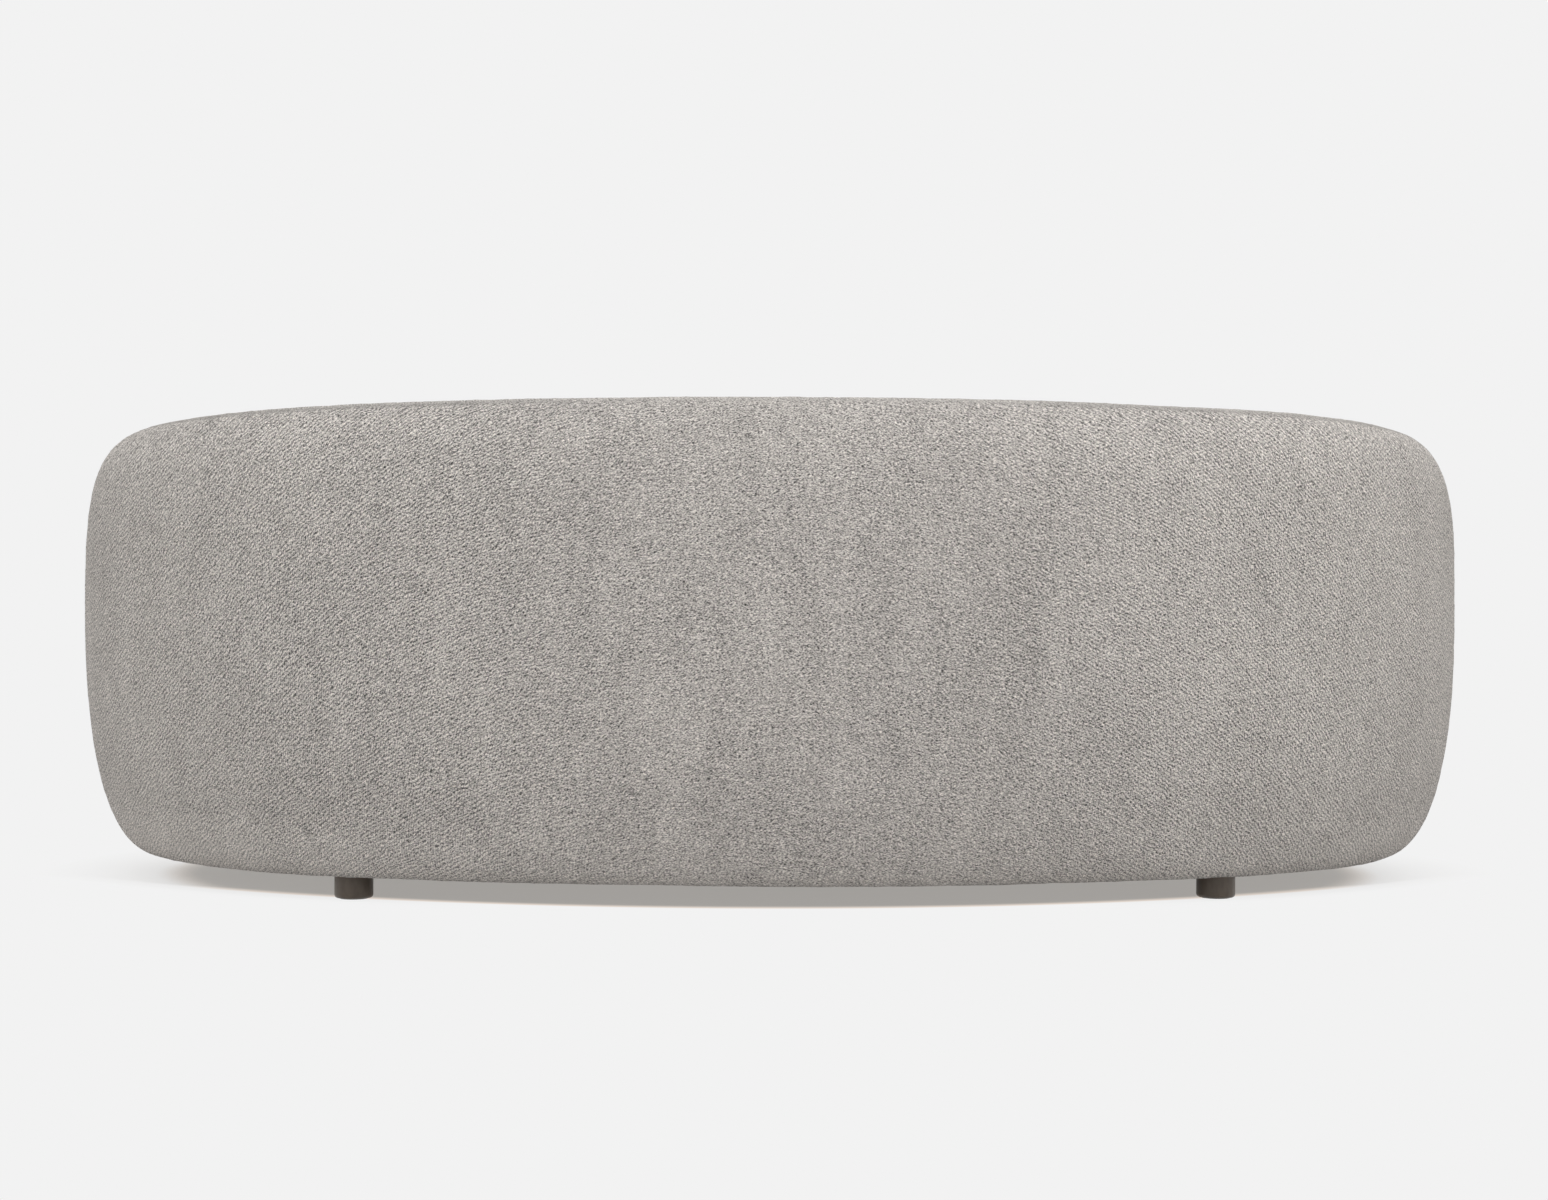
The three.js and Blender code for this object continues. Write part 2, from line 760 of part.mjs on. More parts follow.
function bandCover() {
  const opening = ringSlab(coverOpeningReach, undersideHeight - overrun, plateTop);
  return bandSolid(0).subtract(bandSolid(coverThickness)).subtract(opening).subtract(platformPocket());
}

function bandFoam() {
  const base = toSolid(boardGeometry(baseOutline(fitGap), undersideHeight - overrun, frameBottom + fitGap));
  return bandSolid(coverThickness + fitGap).subtract(frameSpace()).subtract(base).subtract(platformPocket());
}

function sectorSolid(from, to) {
  const far = rearRadius * 2;
  const outline = [from, (from + to) / 2, to].map(
    (turn) => new THREE.Vector2(far * Math.sin(turn), far * Math.cos(turn) - rearRadius),
  );
  outline.push(new THREE.Vector2(0, -rearRadius));
  return toSolid(boardGeometry(outline, -overrun, overallHeight + overrun));
}

function addBandFoam() {
  const foam = bandFoam();
  const split = fitGap / 2 / rearRadius;
  const back = foam.intersect(sectorSolid(-rearTurn + split, rearTurn - split));
  const right = foam.intersect(sectorSolid(rearTurn + split, Math.PI / 2));
  const left = foam.intersect(sectorSolid(-Math.PI / 2, -rearTurn - split));
  addPiece(frame, "back_foam", toGeometry(back), foamMaterial);
  addPiece(frame, "arm_foam_left", toGeometry(left), foamMaterial);
  addPiece(frame, "arm_foam_right", toGeometry(right), foamMaterial);
}

function dustCover() {
  const high = undersideHeight - fitGap;
  const low = high - dustCoverThickness;
  const outline = bandTurns().map((turn) => bandPoint(turn, -dustCoverInset));
  const corner = outline[outline.length - 1];
  const ahead = frontPoint(corner.x, 0).y - outerReach;
  outline.push(new THREE.Vector2(corner.x, ahead), new THREE.Vector2(-corner.x, ahead));
  const apron = frontBoard(-apronDepth, apronDepth - apronTopReach, 0, overrun * 2, apronHalfWidth + fitGap);
  const whole = toSolid(boardGeometry(outline, low, high));
  let sheet = whole.subtract(aheadOfFront(apronBack - fitGap * 2)).subtract(apron);
  for (const place of footPlaces()) {
    const hole = new THREE.CylinderGeometry(
      footRadius + footHoleMargin,
      footRadius + footHoleMargin,
      overrun,
      footSides,
    );
    hole.rotateX(Math.PI / 2);
    hole.translate(place.x, place.y, high);
    sheet = sheet.subtract(toSolid(hole));
  }
  return sheet;
}

// Feet

function footGeometry() {
  const high = plateHeight - fitGap;
  const recess = glideHeight - glideProud + fitGap;
  const profile = [new THREE.Vector2(0, glideProud + recess)];
  profile.push(new THREE.Vector2(glideRadius + fitGap, glideProud + recess));
  profile.push(new THREE.Vector2(glideRadius + fitGap, glideProud));
  for (let k = 0; k <= 3; k += 1) {
    const angle = (Math.PI / 2) * (k / 3);
    const x = footRadius - footEdge + footEdge * Math.sin(angle);
    profile.push(new THREE.Vector2(x, glideProud + footEdge - footEdge * Math.cos(angle)));
  }
  profile.push(new THREE.Vector2(footRadius, high));
  profile.push(new THREE.Vector2(boltRadius + fitGap, high));
  profile.push(new THREE.Vector2(boltRadius + fitGap, high - boltInFoot - fitGap));
  profile.push(new THREE.Vector2(0, high - boltInFoot - fitGap));
  const geometry = new THREE.LatheGeometry(profile, footSides);
  geometry.rotateX(Math.PI / 2);
  return geometry;
}

function pegGeometry(radius, low, high, sides) {
  const geometry = new THREE.CylinderGeometry(radius, radius, high - low, sides);
  geometry.rotateX(Math.PI / 2);
  geometry.translate(0, 0, (low + high) / 2);
  return geometry;
}

function addFeet() {
  const high = plateHeight - fitGap;
  const names = ["rear_left", "rear_right", "front_left", "front_right"];
  footPlaces().forEach((place, k) => {
    const bolt = pegGeometry(boltRadius, high - boltInFoot, plateTop + boltAbove, boltSides);
    const glide = pegGeometry(glideRadius, 0, glideHeight, footSides);
    const pieces = [
      addPiece(frame, `foot_${names[k]}`, footGeometry(), footMaterial),
      addPiece(frame, `foot_bolt_${names[k]}`, bolt, steelMaterial),
      addPiece(frame, `foot_glide_${names[k]}`, glide, blackFeltMaterial),
    ];
    pieces.forEach((piece) => piece.position.set(place.x, place.y, 0));
  });
}

// Seat cushion

const cushionBottom = deckHeight + fitGap;
const cushionSeamTop = cushionBottom + cushionHeight - cushionCrown;
const cushionMiddle = (cushionBottom + cushionSeamTop) / 2;
const cushionSpineSteps = 7;
const cushionSpineShare = 0.62;
const cushionEndSteps = 3;
const cushionCornerSteps = 3;

function cushionRear(turn, height, inset) {
  return bandPoint(turn, -innerFace(turn, height) - cushionClearance - inset);
}

function cushionFront(share, height, inset) {
  const end = cushionRear(armTurn, cushionMiddle, 0).x - cushionCorner;
  const drawn = cushionDrawn * (1 - share * share);
  return frontPoint(share * end, inset + drawn - cushionOverhang - cushionDrawn);
}

// Places round the cushion's edge, each with the place on the spine that it is gathered to
function cushionRing() {
  const turns = bandTurns();
  const middle = (turns.length - 1) / 2;
  const spineTurn = turns[middle + cushionSpineSteps];
  const spineAt = (share) => {
    const held = THREE.MathUtils.clamp(share, -1, 1);
    const rear = cushionRear(held * spineTurn, cushionMiddle, 0);
    return rear.lerp(cushionFront(held * cushionSpineShare, cushionMiddle, 0), 1 / 2);
  };
  const rear = turns.map((turn) => ({
    spine: spineAt(turn / spineTurn),
    edge: (height, inset) => cushionRear(turn, height, inset),
  }));
  const front = [];
  for (let k = 0; k < cushionEndSteps; k += 1) {
    front.push(THREE.MathUtils.lerp(1, cushionSpineShare, k / cushionEndSteps));
  }
  for (let k = cushionSpineSteps; k > 0; k -= 1) {
    front.push((turns[middle + k] / spineTurn) * cushionSpineShare);
  }
  const across = [...front, 0, ...front.map((share) => -share).reverse()].map((share) => ({
    spine: spineAt(share / cushionSpineShare),
    edge: (height, inset) => cushionFront(share, height, inset),
  }));
  return [...rear, ...cushionCornerPlaces(1, spineAt(1)), ...across, ...cushionCornerPlaces(-1, spineAt(-1))];
}

function cushionCornerPlaces(side, spine) {
  const places = [];
  for (let k = 1; k < cushionCornerSteps; k += 1) {
    const step = side > 0 ? k : cushionCornerSteps - k;
    const edge = (height, inset) => {
      const start = cushionRear(side * armTurn, height, inset);
      const end = cushionFront(side, height, inset);
      const tip = new THREE.Vector2(start.x, frontPoint(start.x, inset - cushionOverhang).y);
      return new THREE.QuadraticBezierCurve(start, tip, end).getPoint(step / cushionCornerSteps);
    };
    places.push({ spine, edge });
  }
  return places;
}

// Crown, seams drawn in, and sides that belly out between them
function cushionSolid(skin) {
  const ring = cushionRing();
  const row = (share, height, inset) =>
    ring.map((place) => {
      const edge = place.edge(height, inset + skin);
      const point = place.spine.clone().lerp(edge, share);
      return new THREE.Vector3(point.x, point.y, height);
    });
  const crownShares = [0, 0.34, 0.62, 0.82, 0.94];
  const rows = crownShares.map((share) => {
    const height = cushionSeamTop + cushionCrown * (1 - Math.pow(share, 3)) - skin;
    return row(share, height, cushionSeamInset);
  });
  rows.push(row(1, cushionSeamTop - skin, cushionSeamInset / 2));
  rows.push(row(1, THREE.MathUtils.lerp(cushionMiddle, cushionSeamTop, 1 / 2), 0));
  rows.push(row(1, THREE.MathUtils.lerp(cushionMiddle, cushionBottom, 1 / 2), 0));
  rows.push(row(1, cushionBottom + cushionSeamInset + skin, cushionSeamInset / 2));
  rows.push(row(1, cushionBottom + skin, cushionSeamInset + skin));
  rows.push(row(0, cushionBottom + skin, cushionSeamInset));
  return toSolid(ringGeometry(rows));
}

// The zip's tape, or the slot for it, in the middle of the cushion's back edge
function zipStrip(margin, depthLow, depthHigh) {
  const low = cushionMiddle - zipHeight / 2 - margin;
  const high = cushionMiddle + zipHeight / 2 + margin;
  const section = (turn) => {
    const face = (height) => -innerFace(turn, height) - cushionClearance;
    return [
      new THREE.Vector2(face(low) - depthHigh, low),
      new THREE.Vector2(face(low) - depthLow, low),
      new THREE.Vector2(face(high) - depthLow, high),
      new THREE.Vector2(face(high) - depthHigh, high),
    ];
  };
  const strip = alongBand(section, bandTurns().filter((turn) => Math.abs(turn) < Math.PI / 4));
  const window = new THREE.BoxGeometry(zipLength + margin * 2, rearRadius, overallHeight * 2);
  return strip.intersect(toSolid(window));
}

function addSeatCushion() {
  const slot = zipStrip(fitGap, -cushionClearance, cushionCover + fitGap);
  const cover = cushionSolid(0).subtract(cushionSolid(cushionCover)).subtract(slot);
  addPiece(seatCushion, "seat_cushion_cover", toGeometry(cover), boucleMaterial);
  const core = cushionSolid(cushionCover + fitGap * 2);
  addPiece(seatCushion, "seat_cushion_core", toGeometry(core), foamMaterial);
  const tapeDepth = cushionCover - tapeThickness;
  addPiece(seatCushion, "seat_cushion_zip", toGeometry(zipStrip(0, tapeDepth, cushionCover)), zipMaterial);
}

// Assembly

function addFrame() {
  addPiece(frame, "base_plate", toGeometry(basePlate()), plywoodMaterial);
  addPiece(frame, "front_plate", toGeometry(frontPlate()), plywoodMaterial);
  addRibs();
  addPiece(frame, "top_rail", toGeometry(topRail()), plywoodMaterial);
  addPiece(frame, "mid_rail", toGeometry(midRail()), plywoodMaterial);
  addPiece(frame, "inner_liner", toGeometry(innerLiner()), plywoodMaterial);
  addPiece(frame, "seat_back_rail", toGeometry(seatBackRail()), plywoodMaterial);
  addPiece(frame, "front_rail", toGeometry(frontRail()), plywoodMaterial);
  addBearers();
  addStraps();
}

function addUpholstery() {
  addBandFoam();
  addPiece(frame, "band_cover", toGeometry(bandCover()), boucleMaterial);
  addPiece(frame, "apron_foam", toGeometry(apronFoamPad()), foamMaterial);
  addPiece(frame, "apron_cover", toGeometry(apronCover()), boucleMaterial);
  const clothLow = deckHeight - deckClothThickness;
  const padLow = clothLow - fitGap - deckPadThickness;
  addPiece(frame, "deck_pad", toGeometry(deckLayer(padLow, clothLow - fitGap)), foamMaterial);
  addPiece(frame, "deck_cloth", toGeometry(deckLayer(clothLow, deckHeight)), liningMaterial);
  addPiece(frame, "dust_cover", toGeometry(dustCover()), blackFeltMaterial);
}

addFrame();
addUpholstery();
addFeet();
addSeatCushion();

// The origin is under the middle of the part
const sofa = new THREE.Group();
sofa.add(frame, seatCushion);
sofa.updateMatrixWorld(true);
const extent = new THREE.Box3().setFromObject(sofa);
sofa.position.y = -(extent.min.y + extent.max.y) / 2;

export default sofa;
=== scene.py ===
"""Curved sofa in grey pile cloth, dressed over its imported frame.

The seat faces -Y and +Z is up, in metres, as in the frame.
"""

import json
import math

import bpy
import numpy as np
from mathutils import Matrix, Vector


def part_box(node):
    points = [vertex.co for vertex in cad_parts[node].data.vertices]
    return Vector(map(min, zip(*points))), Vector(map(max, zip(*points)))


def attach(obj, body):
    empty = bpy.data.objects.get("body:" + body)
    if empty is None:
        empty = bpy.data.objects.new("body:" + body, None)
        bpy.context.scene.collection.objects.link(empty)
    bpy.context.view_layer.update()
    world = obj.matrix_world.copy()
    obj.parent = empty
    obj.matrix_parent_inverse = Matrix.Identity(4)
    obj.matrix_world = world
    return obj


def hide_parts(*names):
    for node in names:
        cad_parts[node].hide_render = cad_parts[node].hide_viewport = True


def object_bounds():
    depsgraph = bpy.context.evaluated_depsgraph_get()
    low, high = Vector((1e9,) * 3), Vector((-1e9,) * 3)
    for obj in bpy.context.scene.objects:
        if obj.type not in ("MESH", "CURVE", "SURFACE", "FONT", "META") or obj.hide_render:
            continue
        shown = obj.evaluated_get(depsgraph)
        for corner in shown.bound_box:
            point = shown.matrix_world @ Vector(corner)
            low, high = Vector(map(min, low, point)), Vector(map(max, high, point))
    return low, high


bl_info = {
    "name": "Curved Sofa",
    "version": (1, 0, 0),
    "blender": (4, 5, 0),
    "location": "View3D > Sidebar > Sofa",
    "description": "Upholstery, feet and finishes of a curved tub sofa, with a plain studio",
    "category": "Object",
}

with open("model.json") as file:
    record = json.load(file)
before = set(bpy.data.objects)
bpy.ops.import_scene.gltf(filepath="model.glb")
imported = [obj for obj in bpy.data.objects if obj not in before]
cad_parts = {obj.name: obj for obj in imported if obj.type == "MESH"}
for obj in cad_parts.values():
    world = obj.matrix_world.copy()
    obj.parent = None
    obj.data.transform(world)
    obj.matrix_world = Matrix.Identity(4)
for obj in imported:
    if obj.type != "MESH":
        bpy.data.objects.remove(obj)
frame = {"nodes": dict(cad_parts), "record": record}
cad_low, cad_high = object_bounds()

FEET = ("rear_left", "rear_right", "front_left", "front_right")
PICTURE_WIDTH = 1548
WELD_DISTANCE = 1e-5
FLAT_ANGLE = math.radians(1)


# Sizes and colours that a user would change


def number(name, description, default, **more):
    return bpy.props.FloatProperty(name=name, description=description, default=default, **more)


def length(name, description, default):
    return number(name, description, default, unit="LENGTH")


def angle(name, description, default):
    return number(name, description, default, unit="ROTATION")


def numbers(name, description, default, **more):
    return bpy.props.FloatVectorProperty(
        name=name, description=description, size=len(default), default=default, **more
    )


def tone(name, description, default):
    return numbers(name, description, default, subtype="COLOR")


class SofaBand(bpy.types.PropertyGroup):
    """Back and arms, one padded band round the seat"""

    rear_radius: length("Rear radius", "Arc of the back's fullest line", 1.78)
    arm_radius: length("Arm radius", "Arc of each arm's fullest line", 0.832)
    rear_turn: angle("Rear turn", "Half the angle of the rear arc", math.radians(23.4))
    arm_turn: angle("Arm turn", "Where the band ends", math.radians(98))
    fullest_height: length("Fullest height", "Height of the widest line", 0.453)
    underside_height: length("Underside", "Height of the hem over the floor", 0.042)
    outer_reach: length("Outer reach", "From the crest to the outer face", 0.133)
    inner_reach: length("Inner reach", "From the crest to the inner face", 0.085)
    back_lean: number("Back lean", "Slope of the inside back", 0.13)
    arm_lean: number("Arm lean", "Slope of the inside arms", 0.07)
    shoulder_powers: numbers(
        "Shoulder powers", "Fullness of the shoulder in height and reach", (3.9, 2.75)
    )
    hem_powers: numbers("Hem powers", "Fullness of the hem in height and reach", (2.2, 2.65))
    spacing: length("Mesh spacing", "Distance between mesh lines", 0.0088)
    seam_depth: length("Seam depth", "How far the sewn lines draw in", 0.005)
    seam_width: length("Seam width", "Half width of a drawn-in line", 0.0045)
    ease: length("Ease", "How far the padding lies inside the full height", 0.003)
    unevenness: length("Unevenness", "Soft swells of the padding", 0.0035)


class SofaSeat(bpy.types.PropertyGroup):
    """Platform, apron and loose cushion"""

    front_radius: length("Front radius", "Hollow curve of the seat's front", 3.3)
    apron_depth: length("Apron depth", "Front to back of the padded apron", 0.06)
    apron_power: number("Apron fullness", "Roundness of the apron", 3.2)
    voxel: length("Cushion mesh", "Remesh size of the cushion", 0.0115)
    pressure: number("Filling pressure", "Push of the filling", 4.0)
    swell: length("Swell", "Most that the filling may push the cover out", 0.012)


class SofaCloth(bpy.types.PropertyGroup):
    """Pile cloth"""

    colour: tone("Colour", "Mean colour of the pile", (0.458, 0.4315, 0.4095))
    # Painted shade: the next number sets how much darker the colour is drawn in the hollows
    # between tufts, and how much lighter on their tops.
    contrast: number("Contrast", "How far tufts and hollows part in brightness", 1.15)
    tuft: length("Tuft size", "Across one tuft", 0.0030)
    tuft_depth: length("Tuft depth", "Relief of the tufts", 0.009)
    row_squeeze: number("Row squeeze", "How much narrower a tuft is across its row", 2.0)
    row_turn: number("Row turn", "Radians that the rows turn over each metre of width", -1.0)
    lock_width: length("Lock width", "Width over which the rows keep one direction", 0.06)
    row_pitch: length("Row pitch", "From one woven row to the next", 0.0055)
    loop_pitch: length("Loop pitch", "From one loop to the next along a row", 0.0068)
    row_sway: number("Row sway", "How unevenly the rows run", 3.0)
    row_share: number("Row share", "How clearly the rows show", 0.117)
    # Painted light: the next number lifts the colour of the arms, most low down at the left end,
    # for light falling on them from the sides.
    painted_side_light: number("Light side", "How much lighter the nap lies on the arms", 0.09)
    # Painted shade: the next number darkens the colour in a strip along the crest and softly over
    # the upper shoulder.
    crest_shade: number("Crest shade", "How much darker the nap looks along the crest", 0.27)
    sheen: number("Sheen", "Light caught by the fibre ends", 0.25)


class SofaStudio(bpy.types.PropertyGroup):
    """Camera, lamp and floor"""

    camera_place: numbers(
        "Camera place", "Where the camera stands", (0.2431, 3.9220, 0.3898), unit="LENGTH"
    )
    camera_turn: angle("Camera turn", "Direction of the view", math.radians(178.281))
    camera_roll: angle("Camera roll", "Tilt of the horizon", -0.0024)
    focal_pixels: number("Focal length", "Focal length in pixels of the picture", 2354.1)
    horizon_drop: number("Horizon drop", "Pixels from the middle down to the horizon", 51.77)
    axis_left: number("Axis left", "Pixels from the middle left to the line of sight", 69.0)
    backdrop: number("Backdrop", "Brightness of the background", 0.888)
    sky: number("Sky", "Light from all round", 0.94)
    top_lamp: number("Top lamp", "Power of the lamp overhead", 124.0)
    # Painted shadow: shade and fringe are glowing colours of the floor under the sofa and at the
    # shadow's warm edge.
    shade: tone("Shade", "Floor in full shadow", (0.358, 0.343, 0.325))
    fringe: tone("Fringe", "Edge of the shadow", (0.87, 0.76, 0.67))
    open_floor: tone("Open floor", "Colour beside the arms", (0.41, 0.42, 0.435))


# Small helpers


def deselect_all():
    if bpy.context.object and bpy.context.object.mode != "OBJECT":
        stop_editing()
    bpy.ops.object.select_all(action="DESELECT")


def make_active(piece):
    deselect_all()
    piece.select_set(True)
    bpy.context.view_layer.objects.active = piece


def start_editing(select="SELECT"):
    """Open the active mesh with all or nothing of it selected"""
    bpy.ops.object.mode_set(mode="EDIT")
    bpy.ops.mesh.select_all(action=select)


def stop_editing():
    bpy.ops.object.mode_set(mode="OBJECT")


def new_piece(name):
    piece = bpy.context.object
    piece.name = name
    piece.data.name = name
    return piece


def vectors_of(elements, key):
    rows = np.empty(len(elements) * 3, dtype=np.float32)
    elements.foreach_get(key, rows)
    return rows.reshape(-1, 3).astype(float)


def places_of(piece):
    return vectors_of(piece.data.vertices, "co")


def normals_of(piece):
    return vectors_of(piece.data.vertex_normals, "vector")


def set_places(piece, places):
    piece.data.vertices.foreach_set("co", np.ascontiguousarray(places, dtype=np.float32).ravel())
    piece.data.update()


def merge_points(piece):
    make_active(piece)
    start_editing()
    bpy.ops.mesh.remove_doubles(threshold=WELD_DISTANCE)
    bpy.ops.mesh.dissolve_degenerate(threshold=WELD_DISTANCE)
    bpy.ops.mesh.normals_make_consistent(inside=False)
    stop_editing()


def apply_modifier(piece, kind, **settings):
    make_active(piece)
    modifier = piece.modifiers.new(kind.title(), kind)
    for key, value in settings.items():
        setattr(modifier, key, value)
    bpy.ops.object.modifier_apply(modifier=modifier.name)


def swell_softly(piece, *swells):
    """Soft uneven swells, as padding has under its cover, each with its size, amount and depth"""
    for size, amount, depth in swells:
        clouds = bpy.data.textures.new(piece.name + "_swells", "CLOUDS")
        clouds.noise_scale = size
        clouds.noise_depth = depth
        settings = {"texture": clouds, "strength": amount, "texture_coords": "LOCAL"}
        apply_modifier(piece, "DISPLACE", mid_level=0.5, **settings)


def finish_piece(piece, material, body, nodes):
    make_active(piece)
    piece.data.materials.clear()
    piece.data.materials.append(material)
    bpy.ops.object.shade_smooth()
    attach(piece, body)
    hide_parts(*nodes)


def copy_of_node(node, name):
    """An own merged copy of a frame node, as a start for a piece"""
    deselect_all()
    piece = frame["nodes"][node].copy()
    piece.data = piece.data.copy()
    piece.parent = None
    for key in list(piece.keys()):
        if key.startswith("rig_"):
            del piece[key]
    bpy.context.scene.collection.objects.link(piece)
    piece.name = name
    piece.data.name = name
    merge_points(piece)
    return piece


def cut_into_squares(low, high, spacing):
    """Join the flat faces of the open mesh and cut them along straight lines both ways"""
    bpy.ops.mesh.dissolve_limited(angle_limit=FLAT_ANGLE)
    for axis, direction in ((0, (1, 0, 0)), (1, (0, 1, 0))):
        span = high[axis] - low[axis]
        count = max(2, round(span / spacing))
        for step in range(1, count):
            place = [0, 0, 0]
            place[axis] = low[axis] + span * step / count
            bpy.ops.mesh.select_all(action="SELECT")
            bpy.ops.mesh.bisect(plane_co=place, plane_no=direction)


# Materials


NOISE_SPAN = (0.3, 0.7)  # where most values of a noise lie
LINING_TONES = ((0.33, 0.31, 0.28), (0.17, 0.16, 0.145))
WEBBING_TONES = ((0.06, 0.06, 0.065), (0.02, 0.02, 0.022))
FELT_TONES = ((0.022, 0.022, 0.023), (0.008, 0.008, 0.009))


def either_way(amount):
    return -amount, amount


def shifted(start, span):
    """A span told from a start"""
    return start + span[0], start + span[1]


class Value:
    """A node's output, to reckon with"""

    def __init__(self, nodes, socket):
        self.nodes = nodes
        self.socket = socket

    def __add__(self, other):
        return self.calc("ADD", other)

    def __sub__(self, other):
        return self.calc("SUBTRACT", other)

    def __rsub__(self, other):
        return self.nodes.run("ShaderNodeMath", 0, {0: other, 1: self}, operation="SUBTRACT")

    def __mul__(self, other):
        return self.calc("MULTIPLY", other)

    def __abs__(self):
        return self.calc("ABSOLUTE")

    def wave(self):
        return self.calc("SINE")

    def or_more(self, other):
        return self.calc("MAXIMUM", other)

    def calc(self, operation, other=0.0):
        return self.nodes.run("ShaderNodeMath", 0, {0: self, 1: other}, operation=operation)

    def fit(self, span, to=(0.0, 1.0), smooth=False):
        """Stretch a span of values to another, and stop at its ends"""
        inputs = dict(zip(("From Min", "From Max", "To Min", "To Max"), (*span, *to)), Value=self)
        kind = "SMOOTHSTEP" if smooth else "LINEAR"
        return self.nodes.run("ShaderNodeMapRange", 0, inputs, interpolation_type=kind)


class Nodes:
    """Short ways to add nodes to a tree"""

    def __init__(self, tree):
        self.tree = tree

    def put(self, socket, value):
        """Give a socket a number, a colour or another node's output"""
        if isinstance(value, Value):
            self.tree.links.new(value.socket, socket)
        else:
            socket.default_value = (*value, 1.0) if socket.type == "RGBA" else value

    def add(self, kind, inputs=None, **settings):
        node = self.tree.nodes.new(kind)
        for key, value in settings.items():
            setattr(node, key, value)
        for key, value in (inputs or {}).items():
            self.put(node.inputs[key], value)
        return node

    def run(self, kind, output, inputs, **settings):
        """Add a node and give one of its outputs"""
        return Value(self, self.add(kind, inputs, **settings).outputs[output])

    def seen_by(self, first, *others):
        """1 where one of these kinds of ray arrives"""
        path = self.add("ShaderNodeLightPath")
        seen = Value(self, path.outputs[f"Is {first} Ray"])
        for other in others:
            seen = seen.or_more(Value(self, path.outputs[f"Is {other} Ray"]))
        return seen

    def blend_shaders(self, share, first, second):
        return self.run("ShaderNodeMixShader", 0, {0: share, 1: first, 2: second})


class Finish(Nodes):
    """A node material for one finish"""

    def __init__(self, name):
        self.material = bpy.data.materials.new(name)
        self.material.use_nodes = True
        super().__init__(self.material.node_tree)
        self.shader = self.tree.nodes["Principled BSDF"]
        self.place = self.run("ShaderNodeTexCoord", "Object", {})

    def axes(self, place=None):
        """The three coordinates of a place"""
        node = self.add("ShaderNodeSeparateXYZ", {0: place or self.place})
        return [Value(self, node.outputs[axis]) for axis in "XYZ"]

    def stretch(self, scale, turn=(0, 0, 0), place=None):
        inputs = {"Vector": place or self.place, "Rotation": turn, "Scale": scale}
        return self.run("ShaderNodeMapping", "Vector", inputs)

    def noise(self, scale, detail=2.0, roughness=0.5, distortion=0.0, place=None):
        inputs = {"Vector": place or self.place, "Scale": scale, "Detail": detail}
        inputs.update(Roughness=roughness, Distortion=distortion)
        return self.run("ShaderNodeTexNoise", "Fac", inputs)

    def blend(self, share, first, second):
        """A colour between two"""
        return self.run("ShaderNodeMix", 2, {0: share, 6: first, 7: second}, data_type="RGBA")

    def relief(self, height, depth, strength):
        inputs = {"Strength": strength, "Distance": depth, "Height": height}
        return self.run("ShaderNodeBump", "Normal", inputs)

    def made(self, **values):
        """The material, once its shader has these values"""
        for key, value in values.items():
            self.put(self.shader.inputs[key.replace("_", " ")], value)
        return self.material


# The pile's rows and tones, with painted light on the arms and hem and painted shade along the
# crest:
# spans in metres from the middle, over the floor or under the top, and the values at both ends of
# each

COMBED_SPAN = 0.85
COMB_UNEVENNESS = 0.09
TUFT_TILT = (0.3, 0.0, 0.4)
TUFT_ROUGHNESS = 0.62
TUFT_DISTORTION = 0.25
SWAY_SCALE = 55.0
ROWS_SPAN = (0.15, 0.5)
SWAY_SHARES = (1.8, 1.0)
ROWS_IN_MIDDLE = 0.6
SLANT_SQUEEZE = 0.7
TOP_SPAN = (-0.016, -0.007)
TONE_SPAN, TONE_SHARES = (0.25, 0.8), (0.93, 1.12)
NAP_SPAN, NAP_TONE = (0.25, 0.75), 0.08
BRUSHED_TONE = 0.06
# Painted light on the arms: where and how strongly their colour is lifted, by width and height.
RIGHT_ARM_SPAN, LEFT_ARM_SPAN = (-0.40, -0.65), (0.80, 1.10)
ARM_HEIGHTS = (0.15, 0.40)
RIGHT_ARM_SHARES, LEFT_ARM_SHARES = (0.5, 1.0), (2.3, 1.0)
# Painted light along the hem: the colour is lifted near the floor, more towards the ends and most
# on the left.
HEM_HEIGHTS = (0.15, 0.06)
HEM_SPAN, HEM_LIGHT_PAINT = (0.5, 1.0), (0.07, 0.20)
LEFT_HEM_SPAN, LEFT_HEM_LIGHT_PAINT = (0.30, 0.65), (0.0, 0.22)
# Painted shade along the crest and the upper shoulder:
CREST_SPAN = (-0.019, -0.013)
CREST_TOP_SPAN, CREST_TOP_SHARES = (0.6, 1.0), (1.0, 0.35)
CREST_SIDE_SPAN, CREST_SIDE_SHARES = (0.25, 0.55), (0.35, 1.0)
SHOULDER_SPAN, SHOULDER_TONES = (-0.06, -0.012), (0.0, 0.25)
CREST_CONTRAST = (1.0, 0.5)
HEIGHT_SPREAD = 0.2
FIBRE_TINT = (0.95, 0.92, 0.88)


def comb(finish, cloth, x):
    """Places turned about Y lock by lock, so that the rows turn steadily from side to side"""
    across = x + finish.noise(7.0).fit(NOISE_SPAN, either_way(COMB_UNEVENNESS))
    locks = across.calc("SNAP", cloth.lock_width)
    turn = locks.fit(either_way(COMBED_SPAN), either_way(COMBED_SPAN * cloth.row_turn))
    inputs = {"Vector": finish.place, "Angle": turn}
    return finish.run("ShaderNodeVectorRotate", "Vector", inputs, rotation_type="Y_AXIS")


